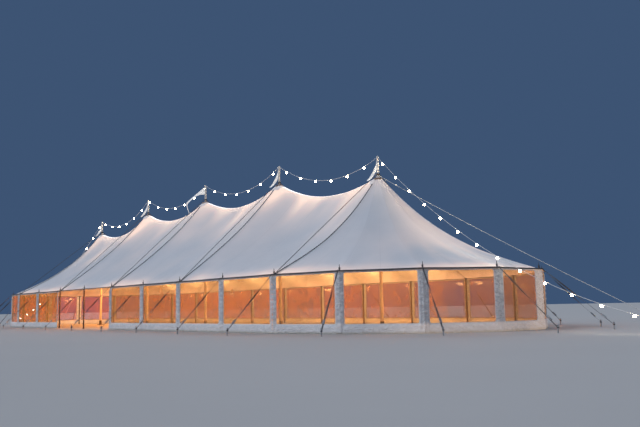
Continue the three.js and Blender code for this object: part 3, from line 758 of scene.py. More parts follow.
def wall_cloth():
    """Crumpled cloth with painted shade in the hollows of its crumples, grime at its foot, and slanting
    pleats painted as stripes of shade in the skirt below the windows, which is greyer.
    """
    material, nodes, shader, place = new_material("wall cloth", {
        "Roughness": 0.62, "Specular IOR Level": 0.35, "Sheen Weight": 0.08, "Emission Strength": 0.5})
    tone = mottled(nodes, place, 7.0, 1.3)
    clean = nodes.mix(tone, (0.72, 0.74, 0.77, 1), (0.93, 0.92, 0.92, 1))
    level = nodes.drawn(place["Object"], (1.0, 1.0, 2.0))
    crumple = placed(nodes, CRUMPLE, Vector=level, Scale=9.0)["Height"]
    # Painted shade: the hollows of the crumples are darkened towards the shade colour folded.
    crease_shade = nodes.times(nodes.minus(1.0, nodes.ramp(crumple, 0.0, 0.44), clamped=True), 0.72)
    along = nodes.split(place["UV"])
    above = nodes.ramp(along["Y"], WINDOW_LOW - 0.02, WINDOW_LOW + 0.05)
    skirt = nodes.minus(1.0, above, clamped=True)
    # Painted shade: slanting stripes of shade stand for the pleats of the skirt.
    slant = nodes.plus(along["X"], nodes.times(along["Y"], 0.9))
    turns = nodes.plus(nodes.times(slant, 2 * math.pi / 0.034), nodes.times(tone, 5.0))
    wave = nodes.ramp(nodes.math("SINE", turns), -0.2, 1.0)
    pleat_shade = nodes.times(wave, nodes.times(skirt, 0.45), clamped=True)
    # folded is the colour of the painted shade, darker in the skirt; below the windows the cloth is also
    # greyer.
    folded = nodes.mix(skirt, (0.22, 0.27, 0.32, 1), (0.55, 0.59, 0.64, 1))
    skirt_greyed = nodes.mix(skirt, nodes.mix(0.35, clean, (0.5, 0.56, 0.6, 1)), clean)
    shaded = nodes.mix(pleat_shade, nodes.mix(crease_shade, skirt_greyed, folded), (0.52, 0.56, 0.62, 1))
    dirt = nodes.times(grime(nodes, place, 0.03), 0.5)
    nodes.feed(shader, {
        "Base Color": nodes.mix(dirt, shaded, (0.3, 0.3, 0.2, 1)),
        "Emission Color": nodes.mix(shine_through(nodes), UNLIT, (1.0, 0.7, 0.48, 1)),
    })
    bump(nodes, shader, crumple, 0.8, 0.02)
    return material


def clear_sheet():
    """Clear film, painted amber for the glow of the lamps behind it, the painted amber paler towards the
    right end, hazed in patches and wavy.
    """
    material, nodes, shader, place = new_material("clear sheet", {"Roughness": 0.09, "IOR": 1.5})
    # Painted light: the amber of the film and of its haze stands for the lamps' glow behind it, paler and
    # thinner towards the right end.
    paler = nodes.ramp(nodes.split(place["Object"])["X"], -3.0, 7.0)
    edge = nodes.add("ShaderNodeLayerWeight", {"Blend": 0.35}).outputs["Fresnel"]
    weight = nodes.minus(0.36, nodes.times(paler, 0.16))
    haze = nodes.times(mottled(nodes, place, 3.5, 1.2), weight)
    film = nodes.plus(nodes.times(edge, 0.3), haze)
    nodes.feed(shader, {
        "Base Color": nodes.mix(paler, (0.84, 0.35, 0.03, 1), (0.56, 0.32, 0.13, 1)),
        "Alpha": nodes.plus(film, 0.06, clamped=True),
    })
    bump(nodes, shader, nodes.cloud(place["Object"], 5.0, 2.0), 0.35, 0.02)
    return material


def timber(name, dark, light, rise):
    """Grained timber whose foot is grimy up to about the rise."""
    material, nodes, shader, place = new_material(name, {
        "Roughness": 0.55, "Specular IOR Level": 0.4, "Coat Weight": 0.15})
    grain = placed(nodes, GRAIN, Vector=place["Object"], Dark=dark, Light=light)
    dirt = grime(nodes, place, rise)
    nodes.feed(shader, {"Base Color": nodes.mix(dirt, grain["Color"], (0.05, 0.045, 0.03, 1))})
    bump(nodes, shader, grain["Height"], 0.4, 0.002)
    return material


def metal(name, bright, dull, roughness_low, roughness_high):
    """Metal that is dull and rough in patches."""
    material, nodes, shader, place = new_material(name, {"Metallic": 0.85})
    tone = mottled(nodes, place, 60.0, 1.6)
    nodes.feed(shader, {
        "Base Color": nodes.mix(tone, dull, bright),
        "Roughness": nodes.ramp_between(tone, roughness_high, roughness_low),
    })
    return material


def fibre(name, dark, light, threads):
    """Rope, webbing and lacing: fine fibres with worn, lighter patches."""
    material, nodes, shader, place = new_material(name, {
        "Roughness": 0.85, "Specular IOR Level": 0.2, "Sheen Weight": 0.3})
    nodes.feed(shader, {"Base Color": nodes.mix(mottled(nodes, place, 45.0, 1.5), dark, light)})
    bump(nodes, shader, woven(nodes, place, threads, 1.0), 0.5, 0.0012)
    return material


def lamp_glass():
    """Frosted glass, lit from inside."""
    material, nodes, shader, place = new_material("frosted lamp glass", {
        "Roughness": 0.3, "Emission Strength": 60.0})
    shade = nodes.mix(mottled(nodes, place, 30.0, 0.6), (1.0, 0.74, 0.45, 1), (1.0, 0.9, 0.72, 1))
    nodes.feed(shader, {"Base Color": shade, "Emission Color": shade})
    return material


def rubber(name, dark, light):
    material, nodes, shader, place = new_material(name, {"Roughness": 0.6, "Specular IOR Level": 0.3})
    nodes.feed(shader, {"Base Color": nodes.mix(mottled(nodes, place, 80.0, 1.2), dark, light)})
    return material


SAILCLOTH = sailcloth()
SEAM_CLOTH = doubled_cloth("doubled cloth", (0.62, 0.65, 0.7, 1), (0.78, 0.79, 0.8, 1))
# The crown patches' warm tone and their shine are painted glow of the lamps inside.
CROWN_CLOTH = doubled_cloth("doubled cloth of the crowns", (0.66, 0.61, 0.6, 1), (0.86, 0.79, 0.76, 1), 0.18)
RIDGE_CLOTH = doubled_cloth("lit doubled cloth", (0.86, 0.85, 0.86, 1), (0.96, 0.94, 0.94, 1), 0.9)
WALL_CLOTH = wall_cloth()
BINDING = doubled_cloth("welded binding", (0.76, 0.78, 0.8, 1), (0.9, 0.9, 0.9, 1))
CLEAR_SHEET = clear_sheet()
MAST_TIMBER = timber("pale mast timber", (0.56, 0.5, 0.42, 1), (0.93, 0.9, 0.85, 1), 0.05)
POLE_TIMBER = timber("stained pole timber", (0.05, 0.03, 0.018, 1), (0.24, 0.15, 0.08, 1), 0.04)
IRON = metal("blackened iron", (0.16, 0.16, 0.17, 1), (0.04, 0.04, 0.045, 1), 0.35, 0.6)
BRASS = metal("brass", (0.72, 0.55, 0.26, 1), (0.34, 0.24, 0.11, 1), 0.25, 0.45)
STEEL = metal("galvanised steel", (0.6, 0.61, 0.62, 1), (0.34, 0.35, 0.36, 1), 0.35, 0.55)
DARK_ROPE = fibre("dark rope", (0.03, 0.028, 0.03, 1), (0.12, 0.11, 0.11, 1), 2200.0)
BROWN_ROPE = fibre("brown rope", (0.16, 0.08, 0.04, 1), (0.42, 0.25, 0.14, 1), 2200.0)
PALE_ROPE = fibre("pale rope", (0.62, 0.62, 0.62, 1), (0.9, 0.89, 0.86, 1), 2200.0)
WEBBING = fibre("dark webbing", (0.04, 0.04, 0.045, 1), (0.125, 0.12, 0.125, 1), 1500.0)
LAMP_GLASS = lamp_glass()
LAMP_CORD = rubber("lamp cord", (0.72, 0.7, 0.68, 1), (0.93, 0.91, 0.87, 1))
LAMP_SOCKET = rubber("lamp socket", (0.45, 0.42, 0.38, 1), (0.68, 0.65, 0.6, 1))
# The pennants' shine is a painted glow that makes them brighter.
PENNANT_CLOTH = doubled_cloth("pennant cotton", (0.84, 0.82, 0.78, 1), (0.97, 0.96, 0.94, 1), 0.34)


def new_object(name, data):
    obj = bpy.data.objects.new(name, data)
    bpy.context.scene.collection.objects.link(obj)
    return obj


def shade_smooth(mesh):
    mesh.polygons.foreach_set("use_smooth", [True] * len(mesh.polygons))


class Gathered:
    """Points, faces and map corners gathered for one mesh."""

    def __init__(self):
        self.points = []
        self.faces = []
        self.map = []

    def add_grid(self, rows, wrap=False, flip=False, map_of=None, keep=None):
        """Quads over rows of points. wrap joins the last column to the first; keep says which quads stay."""
        start = len(self.points)
        width = len(rows[0])
        for row in rows:
            self.points.extend(row)
        for r in range(len(rows) - 1):
            for c in range(width if wrap else width - 1):
                if keep and not keep(r, c):
                    continue
                ring = [(r, c), (r, c + 1), (r + 1, c + 1), (r + 1, c)]
                if flip:
                    ring.reverse()
                self.faces.append([start + i * width + j % width for i, j in ring])
                self.map.extend(map_of(i, j) if map_of else (j / width, i / len(rows)) for i, j in ring)

    def add_face(self, ring):
        start = len(self.points)
        self.points.extend(ring)
        self.faces.append(list(range(start, start + len(ring))))
        self.map.extend([(0.0, 0.0)] * len(ring))

    def add_bar(self, rings, map_of=None):
        """A bar over rings of points, closed at both ends."""
        self.add_grid(rings, wrap=True, map_of=map_of)
        for ring in (rings[0], rings[-1]):
            self.add_face(ring)

    def add_box(self, centre, size):
        around = ((-1, -1), (1, -1), (1, 1), (-1, 1))
        self.add_bar([[Vector(centre) + Vector((size[0] * i / 2, size[1] * j / 2, size[2] * k / 2))
                       for i, j in around] for k in (-1, 1)])

    def piece(self, name, material, closed=False, hard=False):
        """A Blender object of what was gathered, with doubled points merged. A closed body's faces are turned
        outwards, and a hard one, which is closed too, keeps its edges sharp."""
        mesh = bpy.data.meshes.new(name)
        mesh.from_pydata([tuple(point) for point in self.points], [], self.faces)
        layer = mesh.uv_layers.new(name="UVMap")
        for corner, place in zip(layer.data, self.map):
            corner.uv = place
        work = bmesh.new()
        work.from_mesh(mesh)
        bmesh.ops.remove_doubles(work, verts=work.verts, dist=WELD)
        if closed or hard:
            bmesh.ops.recalc_face_normals(work, faces=work.faces)
        work.to_mesh(mesh)
        work.free()
        shade_smooth(mesh)
        mesh.materials.append(material)
        if hard:
            mesh.set_sharp_from_angle(angle=EDGE_ANGLE)
        return new_object(name, mesh)


def on_tent(obj, slot, *nodes):
    """The piece rides on the tent and stands for the named nodes; the slot is not used."""
    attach(obj, "root")
    if nodes:
        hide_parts(*nodes)
    return obj


def thicken(obj, thickness, offset=-1.0):
    """Gives a sheet its thickness: below its surface, or with an offset of 0 to both sides of it."""
    made = obj.modifiers.new("thickness", "SOLIDIFY")
    made.thickness = thickness
    made.offset = offset


def lathe_rows(profile, sides, centre=(0.0, 0.0, 0.0)):
    """Rows of points round an upright axis, one for each (radius, height) of the profile."""
    rows = []
    for radius, height in profile:
        row = []
        for i in range(sides):
            turn = 2 * math.pi * i / sides
            row.append(Vector(centre) + Vector((radius * math.cos(turn), radius * math.sin(turn), height)))
        rows.append(row)
    return rows


def lathe(gathered, profile, sides, centre=(0.0, 0.0, 0.0)):
    gathered.add_grid(lathe_rows(profile, sides, centre), wrap=True)


def template(name, profile, sides, material):
    """A turned body that is copied to many places and then removed."""
    gathered = Gathered()
    lathe(gathered, profile, sides)
    return gathered.piece(name, material, hard=True)


def growth_tree(name, inputs):
    """A tree that grows a shape from a mesh: it takes the mesh, inputs of its own and the shape's finish."""
    sockets = {"Geometry": ("NodeSocketGeometry", None), **inputs, "Finish": ("NodeSocketMaterial", None)}
    return new_group(name, "GeometryNodeTree", sockets, {"Geometry": "NodeSocketGeometry"})


def put_items(nodes, given, points, turns):
    """A copy of the item at each of the points, turned as they say."""
    item = nodes.add("GeometryNodeObjectInfo", {"Object": given["Item"], "As Instance": True})
    placing = nodes.add("GeometryNodeInstanceOnPoints", {
        "Points": points,
        "Instance": item.outputs["Geometry"],
        "Rotation": turns,
    })
    return placing.outputs[0]


def put_out(nodes, given, out, shape):
    """Makes the copies in a shape real, gives it its finish and puts it out of the tree."""
    whole = nodes.add("GeometryNodeRealizeInstances", {0: shape})
    finish = nodes.add("GeometryNodeSetMaterial", {"Geometry": whole.outputs[0], "Material": given["Finish"]})
    nodes.feed(out, {0: finish.outputs[0]})


def copies_tree():
    """Puts a copy of the item at each point, turned by the point's own value."""
    tree, nodes, given, out = growth_tree("placed copies", {"Item": ("NodeSocketObject", None)})
    turn = nodes.add("GeometryNodeInputNamedAttribute", {"Name": "turn"}, data_type="FLOAT_VECTOR")
    put_out(nodes, given, out, put_items(nodes, given, given["Geometry"], turn.outputs["Attribute"]))
    return tree


def rope_tree():
    """Grows a laid rope along every line of the mesh."""
    tree, nodes, given, out = growth_tree("laid rope", {
        "Radius": (FLOAT, 0.005),
        "Lay": (FLOAT, 0.05),
        "Step": (FLOAT, 0.01),
        "Groove": (FLOAT, ROPE_GROOVE),
        "Strands": ("NodeSocketInt", 3),
    })
    line = nodes.add("GeometryNodeMeshToCurve", {0: given["Geometry"]})
    even = {"Curve": line.outputs[0], "Length": given["Step"]}
    evened = nodes.add("GeometryNodeResampleCurve", even, mode="LENGTH")
    along = nodes.add("GeometryNodeSplineParameter").outputs["Length"]
    tilt = nodes.times(nodes.math("DIVIDE", along, given["Lay"]), 2 * math.pi)
    twisted = nodes.add("GeometryNodeSetCurveTilt", {"Curve": evened.outputs[0], "Tilt": tilt})
    section = nodes.add("GeometryNodeCurveStar", {
        "Points": given["Strands"],
        "Inner Radius": nodes.times(given["Radius"], given["Groove"]),
        "Outer Radius": given["Radius"],
    })
    body = nodes.add("GeometryNodeCurveToMesh", {
        "Curve": twisted.outputs[0],
        "Profile Curve": section.outputs[0],
        "Fill Caps": True,
    })
    put_out(nodes, given, out, body.outputs[0])
    return tree


def links_tree():
    """Puts a copy of the item at even steps along every line of the mesh, facing along the line."""
    tree, nodes, given, out = growth_tree("items along a line", {
        "Item": ("NodeSocketObject", None),
        "Spacing": (FLOAT, 0.05),
    })
    line = nodes.add("GeometryNodeMeshToCurve", {0: given["Geometry"]})
    even = {"Curve": line.outputs[0], "Length": given["Spacing"]}
    steps = nodes.add("GeometryNodeCurveToPoints", even, mode="LENGTH")
    put_out(nodes, given, out, put_items(nodes, given, steps.outputs["Points"], steps.outputs["Rotation"]))
    return tree


COPIES = copies_tree()
ROPE = rope_tree()
LINKS = links_tree()


def grown(name, points, edges, tree, values, turns=()):
    """The plain mesh that a tree grows from points and lines."""
    source = bpy.data.meshes.new(name)
    source.from_pydata([tuple(point) for point in points], edges, [])
    if turns:
        attribute = source.attributes.new("turn", "FLOAT_VECTOR", "POINT")
        for value, turn in zip(attribute.data, turns):
            value.vector = tuple(turn)
    obj = new_object(name, source)
    growth = obj.modifiers.new("growth", "NODES")
    growth.node_group = tree
    sockets = {item.name: item.identifier for item in tree.interface.items_tree if item.in_out == "INPUT"}
    for key, value in values.items():
        growth[sockets[key]] = value
    made = bpy.data.meshes.new_from_object(obj.evaluated_get(bpy.context.evaluated_depsgraph_get()))
    obj.modifiers.clear()
    obj.data = made
    made.name = name
    return obj


def ropes(name, paths, radius, material, strands=3, groove=ROPE_GROOVE, step=None, slot="dark_rope",
          nodes=()):
    """One piece of rope along all of the paths."""
    points, edges = [], []
    for path in paths:
        start = len(points)
        points.extend(path)
        edges.extend((start + i, start + i + 1) for i in range(len(path) - 1))
    obj = grown(name, points, edges, ROPE, {
        "Radius": radius,
        "Lay": 9 * radius,
        "Step": step or 1.6 * radius,
        "Groove": groove,
        "Strands": strands,
        "Finish": material,
    })
    shade_smooth(obj.data)
    return on_tent(obj, slot, *nodes)


def copies(name, item, places, slot, nodes=(), turns=()):
    """One piece made of copies of an item, in the item's own material."""
    obj = grown(name, places, [], COPIES, {"Item": item, "Finish": item.data.materials[0]}, turns)
    return on_tent(obj, slot, *nodes)


def discard(*items):
    for item in items:
        bpy.data.objects.remove(item, do_unlink=True)


def turn_along(direction):
    return Vector(direction).to_track_quat("Z", "Y").to_euler()


def coil(centre, radius, low, high, turns, steps=14):
    """A line wound round an upright post."""
    path = []
    for i in range(int(turns * steps) + 1):
        turn = 2 * math.pi * i / steps
        height = lerp(low, high, i / (turns * steps))
        x, y = centre[0] + radius * math.cos(turn), centre[1] + radius * math.sin(turn)
        path.append(Vector((x, y, height)))
    return path


def hanging(start, end, sag, steps):
    """A line that hangs in a parabola between two points."""
    path = []
    for i in range(steps + 1):
        share = i / steps
        point = start.lerp(end, share)
        point.z -= 4 * sag * share * (1 - share)
        path.append(point)
    return path


def with_height(place, height):
    return Vector((place.x, place.y, height))


def crowded(share):
    """Steps from 0 to 1 that lie closer together at both ends."""
    return share - CROWDING * math.sin(2 * math.pi * share) / (2 * math.pi)


def mast_coil(king, level, radius, rise, turns):
    """A rope of the given radius, wound round a mast from below the level to above it."""
    return coil((king_x(king), 0), mast_radius(king, level) + radius, level - rise, level + rise, turns)


def side_stations():
    """The distances from the ridge at which a bay's cloth has its points, out to the lip of its hem."""
    inner = HALF_WIDTH - HEM_INSIDE
    slope = [lerp(MAST_HOLE, inner, (i / BAY_ROWS) ** SLOPE_CROWDING) for i in range(BAY_ROWS + 1)]
    return [*slope, HALF_WIDTH, HALF_WIDTH + HEM_OUTSIDE - HEM_LIP, HALF_WIDTH + HEM_OUTSIDE]


def wall_light(x, y, height):
    """How much light shines through a wall: most beside the middle bays of the ends, and some below the
    windows."""
    far = (abs(x) - HALF_LENGTH) / END_REACH
    pillar = 0.5 * smooth((far - 0.9) / 0.07) * smooth((y + 0.3) / 0.6)
    skirt = 0.3 * smooth((far - 0.45) / 0.4) * smooth((WINDOW_LOW + 0.02 - height) / 0.04)
    return 0.08 + max(pillar, skirt)


def add_lamplight(obj, amount=lambda x, y, height: lamplight(x, y)):
    """Keeps how much light shines through the cloth at each of its points."""
    values = obj.data.attributes.new("lamplight", "FLOAT", "POINT")
    for value, vertex in zip(values.data, obj.data.vertices):
        value.value = amount(*vertex.co)


def hem_drop(distance):
    """The turned-down lip of the hem's outer edge."""
    return HEM_LIP if distance >= HALF_WIDTH + HEM_OUTSIDE else 0.0


def cloth_length(reach, place_at):
    """The length of the cloth from a crest to the hem; place_at gives the plan point at a distance."""
    length, before = 0.0, None
    for i in range(LENGTH_STEPS + 1):
        distance = reach * i / LENGTH_STEPS
        height = cloth_height(*place_at(distance))
        if before:
            length += math.hypot(distance - before[0], height - before[1])
        before = (distance, height)
    return length


def slope_length(king):
    """The length of the cloth from the crest to the hem beside a king pole."""
    return cloth_length(HALF_WIDTH + HEM_OUTSIDE, lambda distance: (king_x(king), distance))


def end_slope_length():
    """The length of the cloth from an end king pole to the hem at the far point of the end."""
    return cloth_length(END_REACH + HEM_OUTSIDE, lambda distance: (HALF_LENGTH + distance, 0.001))


def canopy_bay(bay):
    """The cloth between two king poles."""
    left, right = king_x(bay) + HALF_GAP, king_x(bay + 1) - HALF_GAP
    xs = [lerp(left, right, crowded(i / BAY_COLUMNS)) for i in range(BAY_COLUMNS + 1)]
    xs[1:1] = [left + MAST_HOLE]
    xs[-1:-1] = [right - MAST_HOLE]
    xs.sort()
    side = side_stations()
    ys = [-y for y in reversed(side)] + [0.0] + side
    rows = []
    for y in ys:
        drop = hem_drop(abs(y))
        rows.append([Vector((x, y, cloth_top(x, y) - drop)) for x in xs])

    def keep(r, c):
        y = (ys[r] + ys[r + 1]) / 2
        x = (xs[c] + xs[c + 1]) / 2
        return not (abs(y) < MAST_HOLE and min(x - left, right - x) < MAST_HOLE)

    gathered = Gathered()
    gathered.add_grid(rows, map_of=lambda r, c: (xs[c] - king_x(bay), ys[r]), keep=keep)
    obj = gathered.piece(f"canopy_cloth_{bay + 1}", SAILCLOTH)
    add_lamplight(obj)
    thicken(obj, CLOTH_THICKNESS)
    return on_tent(obj, "canvas", f"canopy_bay_{bay + 1}")


def canopy_end(side, sign):
    """The fan of cloth round an end king pole; sign is 1 at the right end and -1 at the left one."""
    rows, turns = [], []
    for i in range(END_BAYS * END_ROWS_PER_BAY + 1):
        turn = i / END_ROWS_PER_BAY
        bay = min(int(turn), END_BAYS - 1)
        inner = END_HEM_INNER[bay].lerp(END_HEM_INNER[bay + 1], turn - bay)
        outer = END_HEM_OUTER[bay].lerp(END_HEM_OUTER[bay + 1], turn - bay)
        places = []
        for j in range(END_COLUMNS + 1):
            out = lerp(MAST_HOLE, inner.length, (j / END_COLUMNS) ** SLOPE_CROWDING)
            places.append(inner * (out / inner.length))
        places.extend((inner.lerp(outer, LIP_SHARE), outer))
        row = []
        for j, place in enumerate(places):
            x = sign * (HALF_LENGTH + max(place.x, HALF_GAP))
            drop = HEM_LIP if j == len(places) - 1 else 0.0
            row.append(Vector((x, place.y, cloth_top(x, place.y) - drop)))
        rows.append(row)
        turns.append(turn)
    gathered = Gathered()
    gathered.add_grid(rows, flip=sign > 0, map_of=lambda r, c: (2 * turns[r] * PANEL_WIDTH, c * 0.05))
    obj = gathered.piece(f"canopy_cloth_{side}_end", SAILCLOTH)
    add_lamplight(obj)
    thicken(obj, CLOTH_THICKNESS)
    return on_tent(obj, "canvas", f"canopy_{side}_end")


def crown_patch(king):
    """A round doubled patch of cloth on the crown, with a scalloped edge and a short cuff up the mast."""
    centre = king_x(king)
    inner = mast_radius(king, peak_height(king)) + 0.0015
    rows = []
    for radius, lift, on_cloth in (
        (inner, 0.018, False),
        (inner + 0.001, 0.008, False),
        (inner + 0.006, 0.0055, False),
        *((lerp(inner + 0.012, PATCH_RADIUS, i / 9), PATCH_LIFT, True) for i in range(10)),
        (PATCH_RADIUS + 0.002, 0.0005, True),
    ):
        row = []
        for i in range(PATCH_SIDES):
            turn = 2 * math.pi * i / PATCH_SIDES
            wave = radius * (1 + (SCALLOP_DEPTH * math.cos(SCALLOPS * turn) if radius > 0.15 else 0))
            x, y = centre + wave * math.cos(turn), wave * math.sin(turn)
            base = cloth_top(x, y) if on_cloth else peak_height(king)
            row.append(Vector((x, y, base + lift)))
        rows.append(row)
    gathered = Gathered()
    gathered.add_grid(rows, wrap=True, flip=True)
    obj = gathered.piece(f"crown_patch_{king + 1}", CROWN_CLOTH)
    thicken(obj, PATCH_THICKNESS)
    return on_tent(obj, "canvas")


def strip_section(half, middle):
    """The section of a strip sewn on the cloth, as (aside, lift), with both edges turned down."""
    return [(-half - 0.002, -0.001), (-half, STRIP_LIFT), *middle, (half, STRIP_LIFT), (half + 0.002, -0.001)]


def strip_rows(places, across, section):
    """Rows of points along plan places, with the strip's section across them, on top of the cloth."""
    rows = []
    for place in places:
        row = []
        for aside, lift in section:
            x, y = place[0] + across[0] * aside, place[1] + across[1] * aside
            row.append(Vector((x, y, cloth_top(x, y) + lift)))
        rows.append(row)
    return rows


def ridge_band(bay):
    """The doubled strip of cloth along the ridge of one bay."""
    left, right = king_x(bay) + PATCH_RADIUS - 0.01, king_x(bay + 1) - PATCH_RADIUS + 0.01
    places = [(lerp(left, right, i / BAND_STEPS), 0.0) for i in range(BAND_STEPS + 1)]
    middle = [(share * BAND_HALF, STRIP_LIFT + 0.001) for share in (-0.5, 0, 0.5)]
    gathered = Gathered()
    gathered.add_grid(strip_rows(places, (0, 1), strip_section(BAND_HALF, middle)), flip=True)
    obj = gathered.piece(f"ridge_band_{bay + 1}", RIDGE_CLOTH)
    thicken(obj, STRIP_THICKNESS)
    return on_tent(obj, "canvas")


def seam_flap(king):
    """The flap over the laced seam, down both slopes beside a king pole."""
    section = strip_section(FLAP_HALF, [(side * FLAP_HALF / 3, STRIP_LIFT + 0.002) for side in (-1, 1)])
    gathered = Gathered()
    for side in (-1, 1):
        places = []
        for i in range(FLAP_STEPS + 1):
            places.append((king_x(king), side * lerp(PATCH_RADIUS - 0.01, HALF_WIDTH - 0.02, i / FLAP_STEPS)))
        gathered.add_grid(strip_rows(places, (1, 0), section), flip=side < 0)
    obj = gathered.piece(f"seam_flap_{king + 1}", SEAM_CLOTH)
    thicken(obj, STRIP_THICKNESS)
    return on_tent(obj, "canvas")


def lacing_loop():
    """One flat loop of the lacing, lying along X."""
    rows = []
    for i in range(LOOP_SIDES):
        turn = 2 * math.pi * i / LOOP_SIDES
        middle = Vector((LOOP_HALF_LENGTH * math.cos(turn), LOOP_HALF_WIDTH * math.sin(turn), 0.0))
        out = Vector((math.cos(turn), math.sin(turn), 0.0))
        row = []
        for j in range(4):
            round_it = 2 * math.pi * j / 4
            rise = Vector((0, 0, LACING_RADIUS * math.sin(round_it)))
            row.append(middle + out * LACING_RADIUS * math.cos(round_it) + rise)
        rows.append(row)
    rows.append(rows[0])
    gathered = Gathered()
    gathered.add_grid(rows, wrap=True)
    return gathered.piece("lacing_loop", DARK_ROPE, closed=True)


def items_along(name, item, points, edges, spacing):
    """One piece made of copies of an item at even steps along lines, on the ropes of the tent."""
    values = {"Item": item, "Spacing": spacing, "Finish": item.data.materials[0]}
    obj = grown(name, points, edges, LINKS, values)
    discard(item)
    on_tent(obj, "dark_rope")


def seam_lacing():
    """The chain of loops that laces the canopy's lengths together, its cord and its knots, on every seam."""
    points, edges = [], []
    for king in range(KING_COUNT):
        for side in (-1, 1):
            start = len(points)
            for i in range(LACING_STEPS + 1):
                y = side * lerp(PATCH_RADIUS, HALF_WIDTH - 0.03, i / LACING_STEPS)
                points.append(Vector((king_x(king), y, cloth_top(king_x(king), y) + STRIP_LIFT + 0.005)))
            edges.extend((start + i, start + i + 1) for i in range(LACING_STEPS))
    loop = lacing_loop()
    loop.data.transform(Matrix.Rotation(-math.pi / 2, 4, "Y"))
    items_along("seam_lacing", loop, points, edges, LACING_GAP)
    line = LACING_STEPS + 1
    lines = [points[k:k + line] for k in range(0, len(points), line)]
    ropes("seam_cord", lines, SEAM_CORD_RADIUS, DARK_ROPE, step=0.02)
    knot = template("knot", [
        (0.0, -0.011), (0.008, -0.009), (0.0125, -0.002), (0.0125, 0.003), (0.008, 0.01), (0.0, 0.012)],
        10, DARK_ROPE)
    items_along("seam_knots", knot, points, edges, KNOT_GAP)


def hem_discs():
    """Discs of doubled cloth and brass rings where the pins stand through the hem."""
    disc = template("hem_disc", [
        (PIN_RADIUS, 0.0), (0.023, 0.0), (0.0235, 0.001), (0.023, 0.002), (PIN_RADIUS + 0.001, 0.0025),
        (PIN_RADIUS, 0.0)], 24, SEAM_CLOTH)
    hole = PIN_RADIUS + 0.0003
    ring = template("hem_ring", [
        (hole, 0.002), (0.0125, 0.002), (0.0135, 0.0035), (0.0125, 0.005), (0.0095, 0.0055), (hole, 0.0045),
        (hole, 0.002)], 20, BRASS)
    places = [with_height(place, EAVE_HEIGHT + 0.0005) for place in POLES]
    copies("hem_discs", disc, places, "canvas")
    copies("hem_rings", ring, places, "dark_rope")
    discard(disc, ring)


def canopy():
    """All the cloth of the roof, with the strips, patches, lacing and discs that are sewn on it."""
    bands = {bay: ridge_band(bay) for bay in range(LAST_KING)}
    patches = {king: crown_patch(king) for king in range(KING_COUNT)}
    flaps = {king: seam_flap(king) for king in range(KING_COUNT)}
    seam_lacing()
    hem_discs()
    for bay in range(LAST_KING):
        cloth = canopy_bay(bay)
        length = slope_length(bay) + slope_length(bay + 1)
    for side, sign, king in ENDS:
        cloth = canopy_end(side, sign)
        reach = end_slope_length()
        width = 2 * slope_length(king)


def mast(king):
    """The timber of one king pole, round and tapered, from its foot plate to its cap."""
    top = mast_height(king)
    gathered = Gathered()
    heights = [0.012, *(lerp(0.014, top - 0.02, i / 24) for i in range(25))]
    profile = [(0.0, heights[0])]
    for height in heights:
        sway = 1 + 0.012 * math.sin(3.1 * height + king)
        profile.append((mast_radius(king, height) * sway, height))
    profile.append((0.0, heights[-1]))
    lathe(gathered, profile, MAST_SIDES, (king_x(king), 0.0, 0.0))
    obj = gathered.piece(f"mast_{king + 1}", MAST_TIMBER, hard=True)
    return on_tent(obj, "timber", f"king_pole_{king + 1}")


def foot_profile(king):
    """A foot plate with the sleeve that holds the foot of the mast."""
    grip = mast_radius(king, 0.1) + 0.0015
    rim = KING_FOOT_RADIUS
    return [(0.0, 0.0), (rim - 0.002, 0.0), (rim, 0.002), (rim, 0.010), (rim - 0.002, 0.012),
            (grip + 0.006, 0.012), (grip + 0.003, 0.018), (grip + 0.003, 0.13), (grip, 0.132),
            (grip - 0.004, 0.132)]


def collar_profile(king):
    """The collar on the mast that carries the crown of the canopy."""
    top = peak_height(king) - COLLAR_DROP
    grip = mast_radius(king, top)
    return [(grip - 0.001, top - 0.075), (grip + 0.004, top - 0.072), (0.042, top - 0.014),
            (0.045, top - 0.011), (0.045, top - 0.003), (0.043, top), (grip - 0.001, top)]


def cap_profile(king):
    head = mast_height(king)
    return [(KING_TOP_RADIUS - 0.001, head - 0.026), (KING_TOP_RADIUS + 0.001, head - 0.025),
            (0.0235, head - 0.019), (0.0235, head - 0.012), (0.018, head - 0.005), (0.0, head)]


def mast_fittings():
    """The foot plates, the collars under the canopy and the caps of the king poles."""
    for name, profiles, sides, material in (
        ("mast_fittings", (foot_profile, collar_profile), 40, IRON),
        ("mast_caps", (cap_profile,), MAST_SIDES, MAST_TIMBER),
    ):
        gathered = Gathered()
        for king in range(KING_COUNT):
            for profile in profiles:
                lathe(gathered, profile(king), sides, (king_x(king), 0.0, 0.0))
        on_tent(gathered.piece(name, material, hard=True), "timber")


def mast_lashings():
    """Turns of rope round each mast over the crown, and the flat coil of its tail on the cloth."""
    wound, tails = [], []
    for king in range(KING_COUNT):
        centre = king_x(king)
        low = peak_height(king) + (END_LASHING_LIFT if is_end(king) else CROWN_LASHING_LIFT)
        high = low + CROWN_LASHING_HEIGHT
        radius = mast_radius(king, low) + CROWN_LASHING_RADIUS
        wound.append(coil((centre, 0), radius, low, high, CROWN_LASHING_TURNS))
        tail = []
        steps = CROWN_TURNS * TURN_STEPS
        for i in range(steps + 1):
            turn = 2 * math.pi * i / TURN_STEPS
            out = lerp(TAIL_INNER, TAIL_OUTER, i / steps)
            x, y = centre + out * math.cos(turn), out * math.sin(turn)
            tail.append(Vector((x, y, cloth_top(x, y) + PATCH_LIFT + CROWN_ROPE_RADIUS)))
        tails.append(tail)
    ropes("crown_lashings", wound, CROWN_LASHING_RADIUS, BROWN_ROPE)
    ropes("crown_coils", tails, CROWN_ROPE_RADIUS, BROWN_ROPE)


def poles_along(side):
    """The side poles of one side: the front and the back have those at their corners."""
    first, last = RUNS[side]
    return range(first + 1, last) if side.endswith("end") else range(first, last + 1)


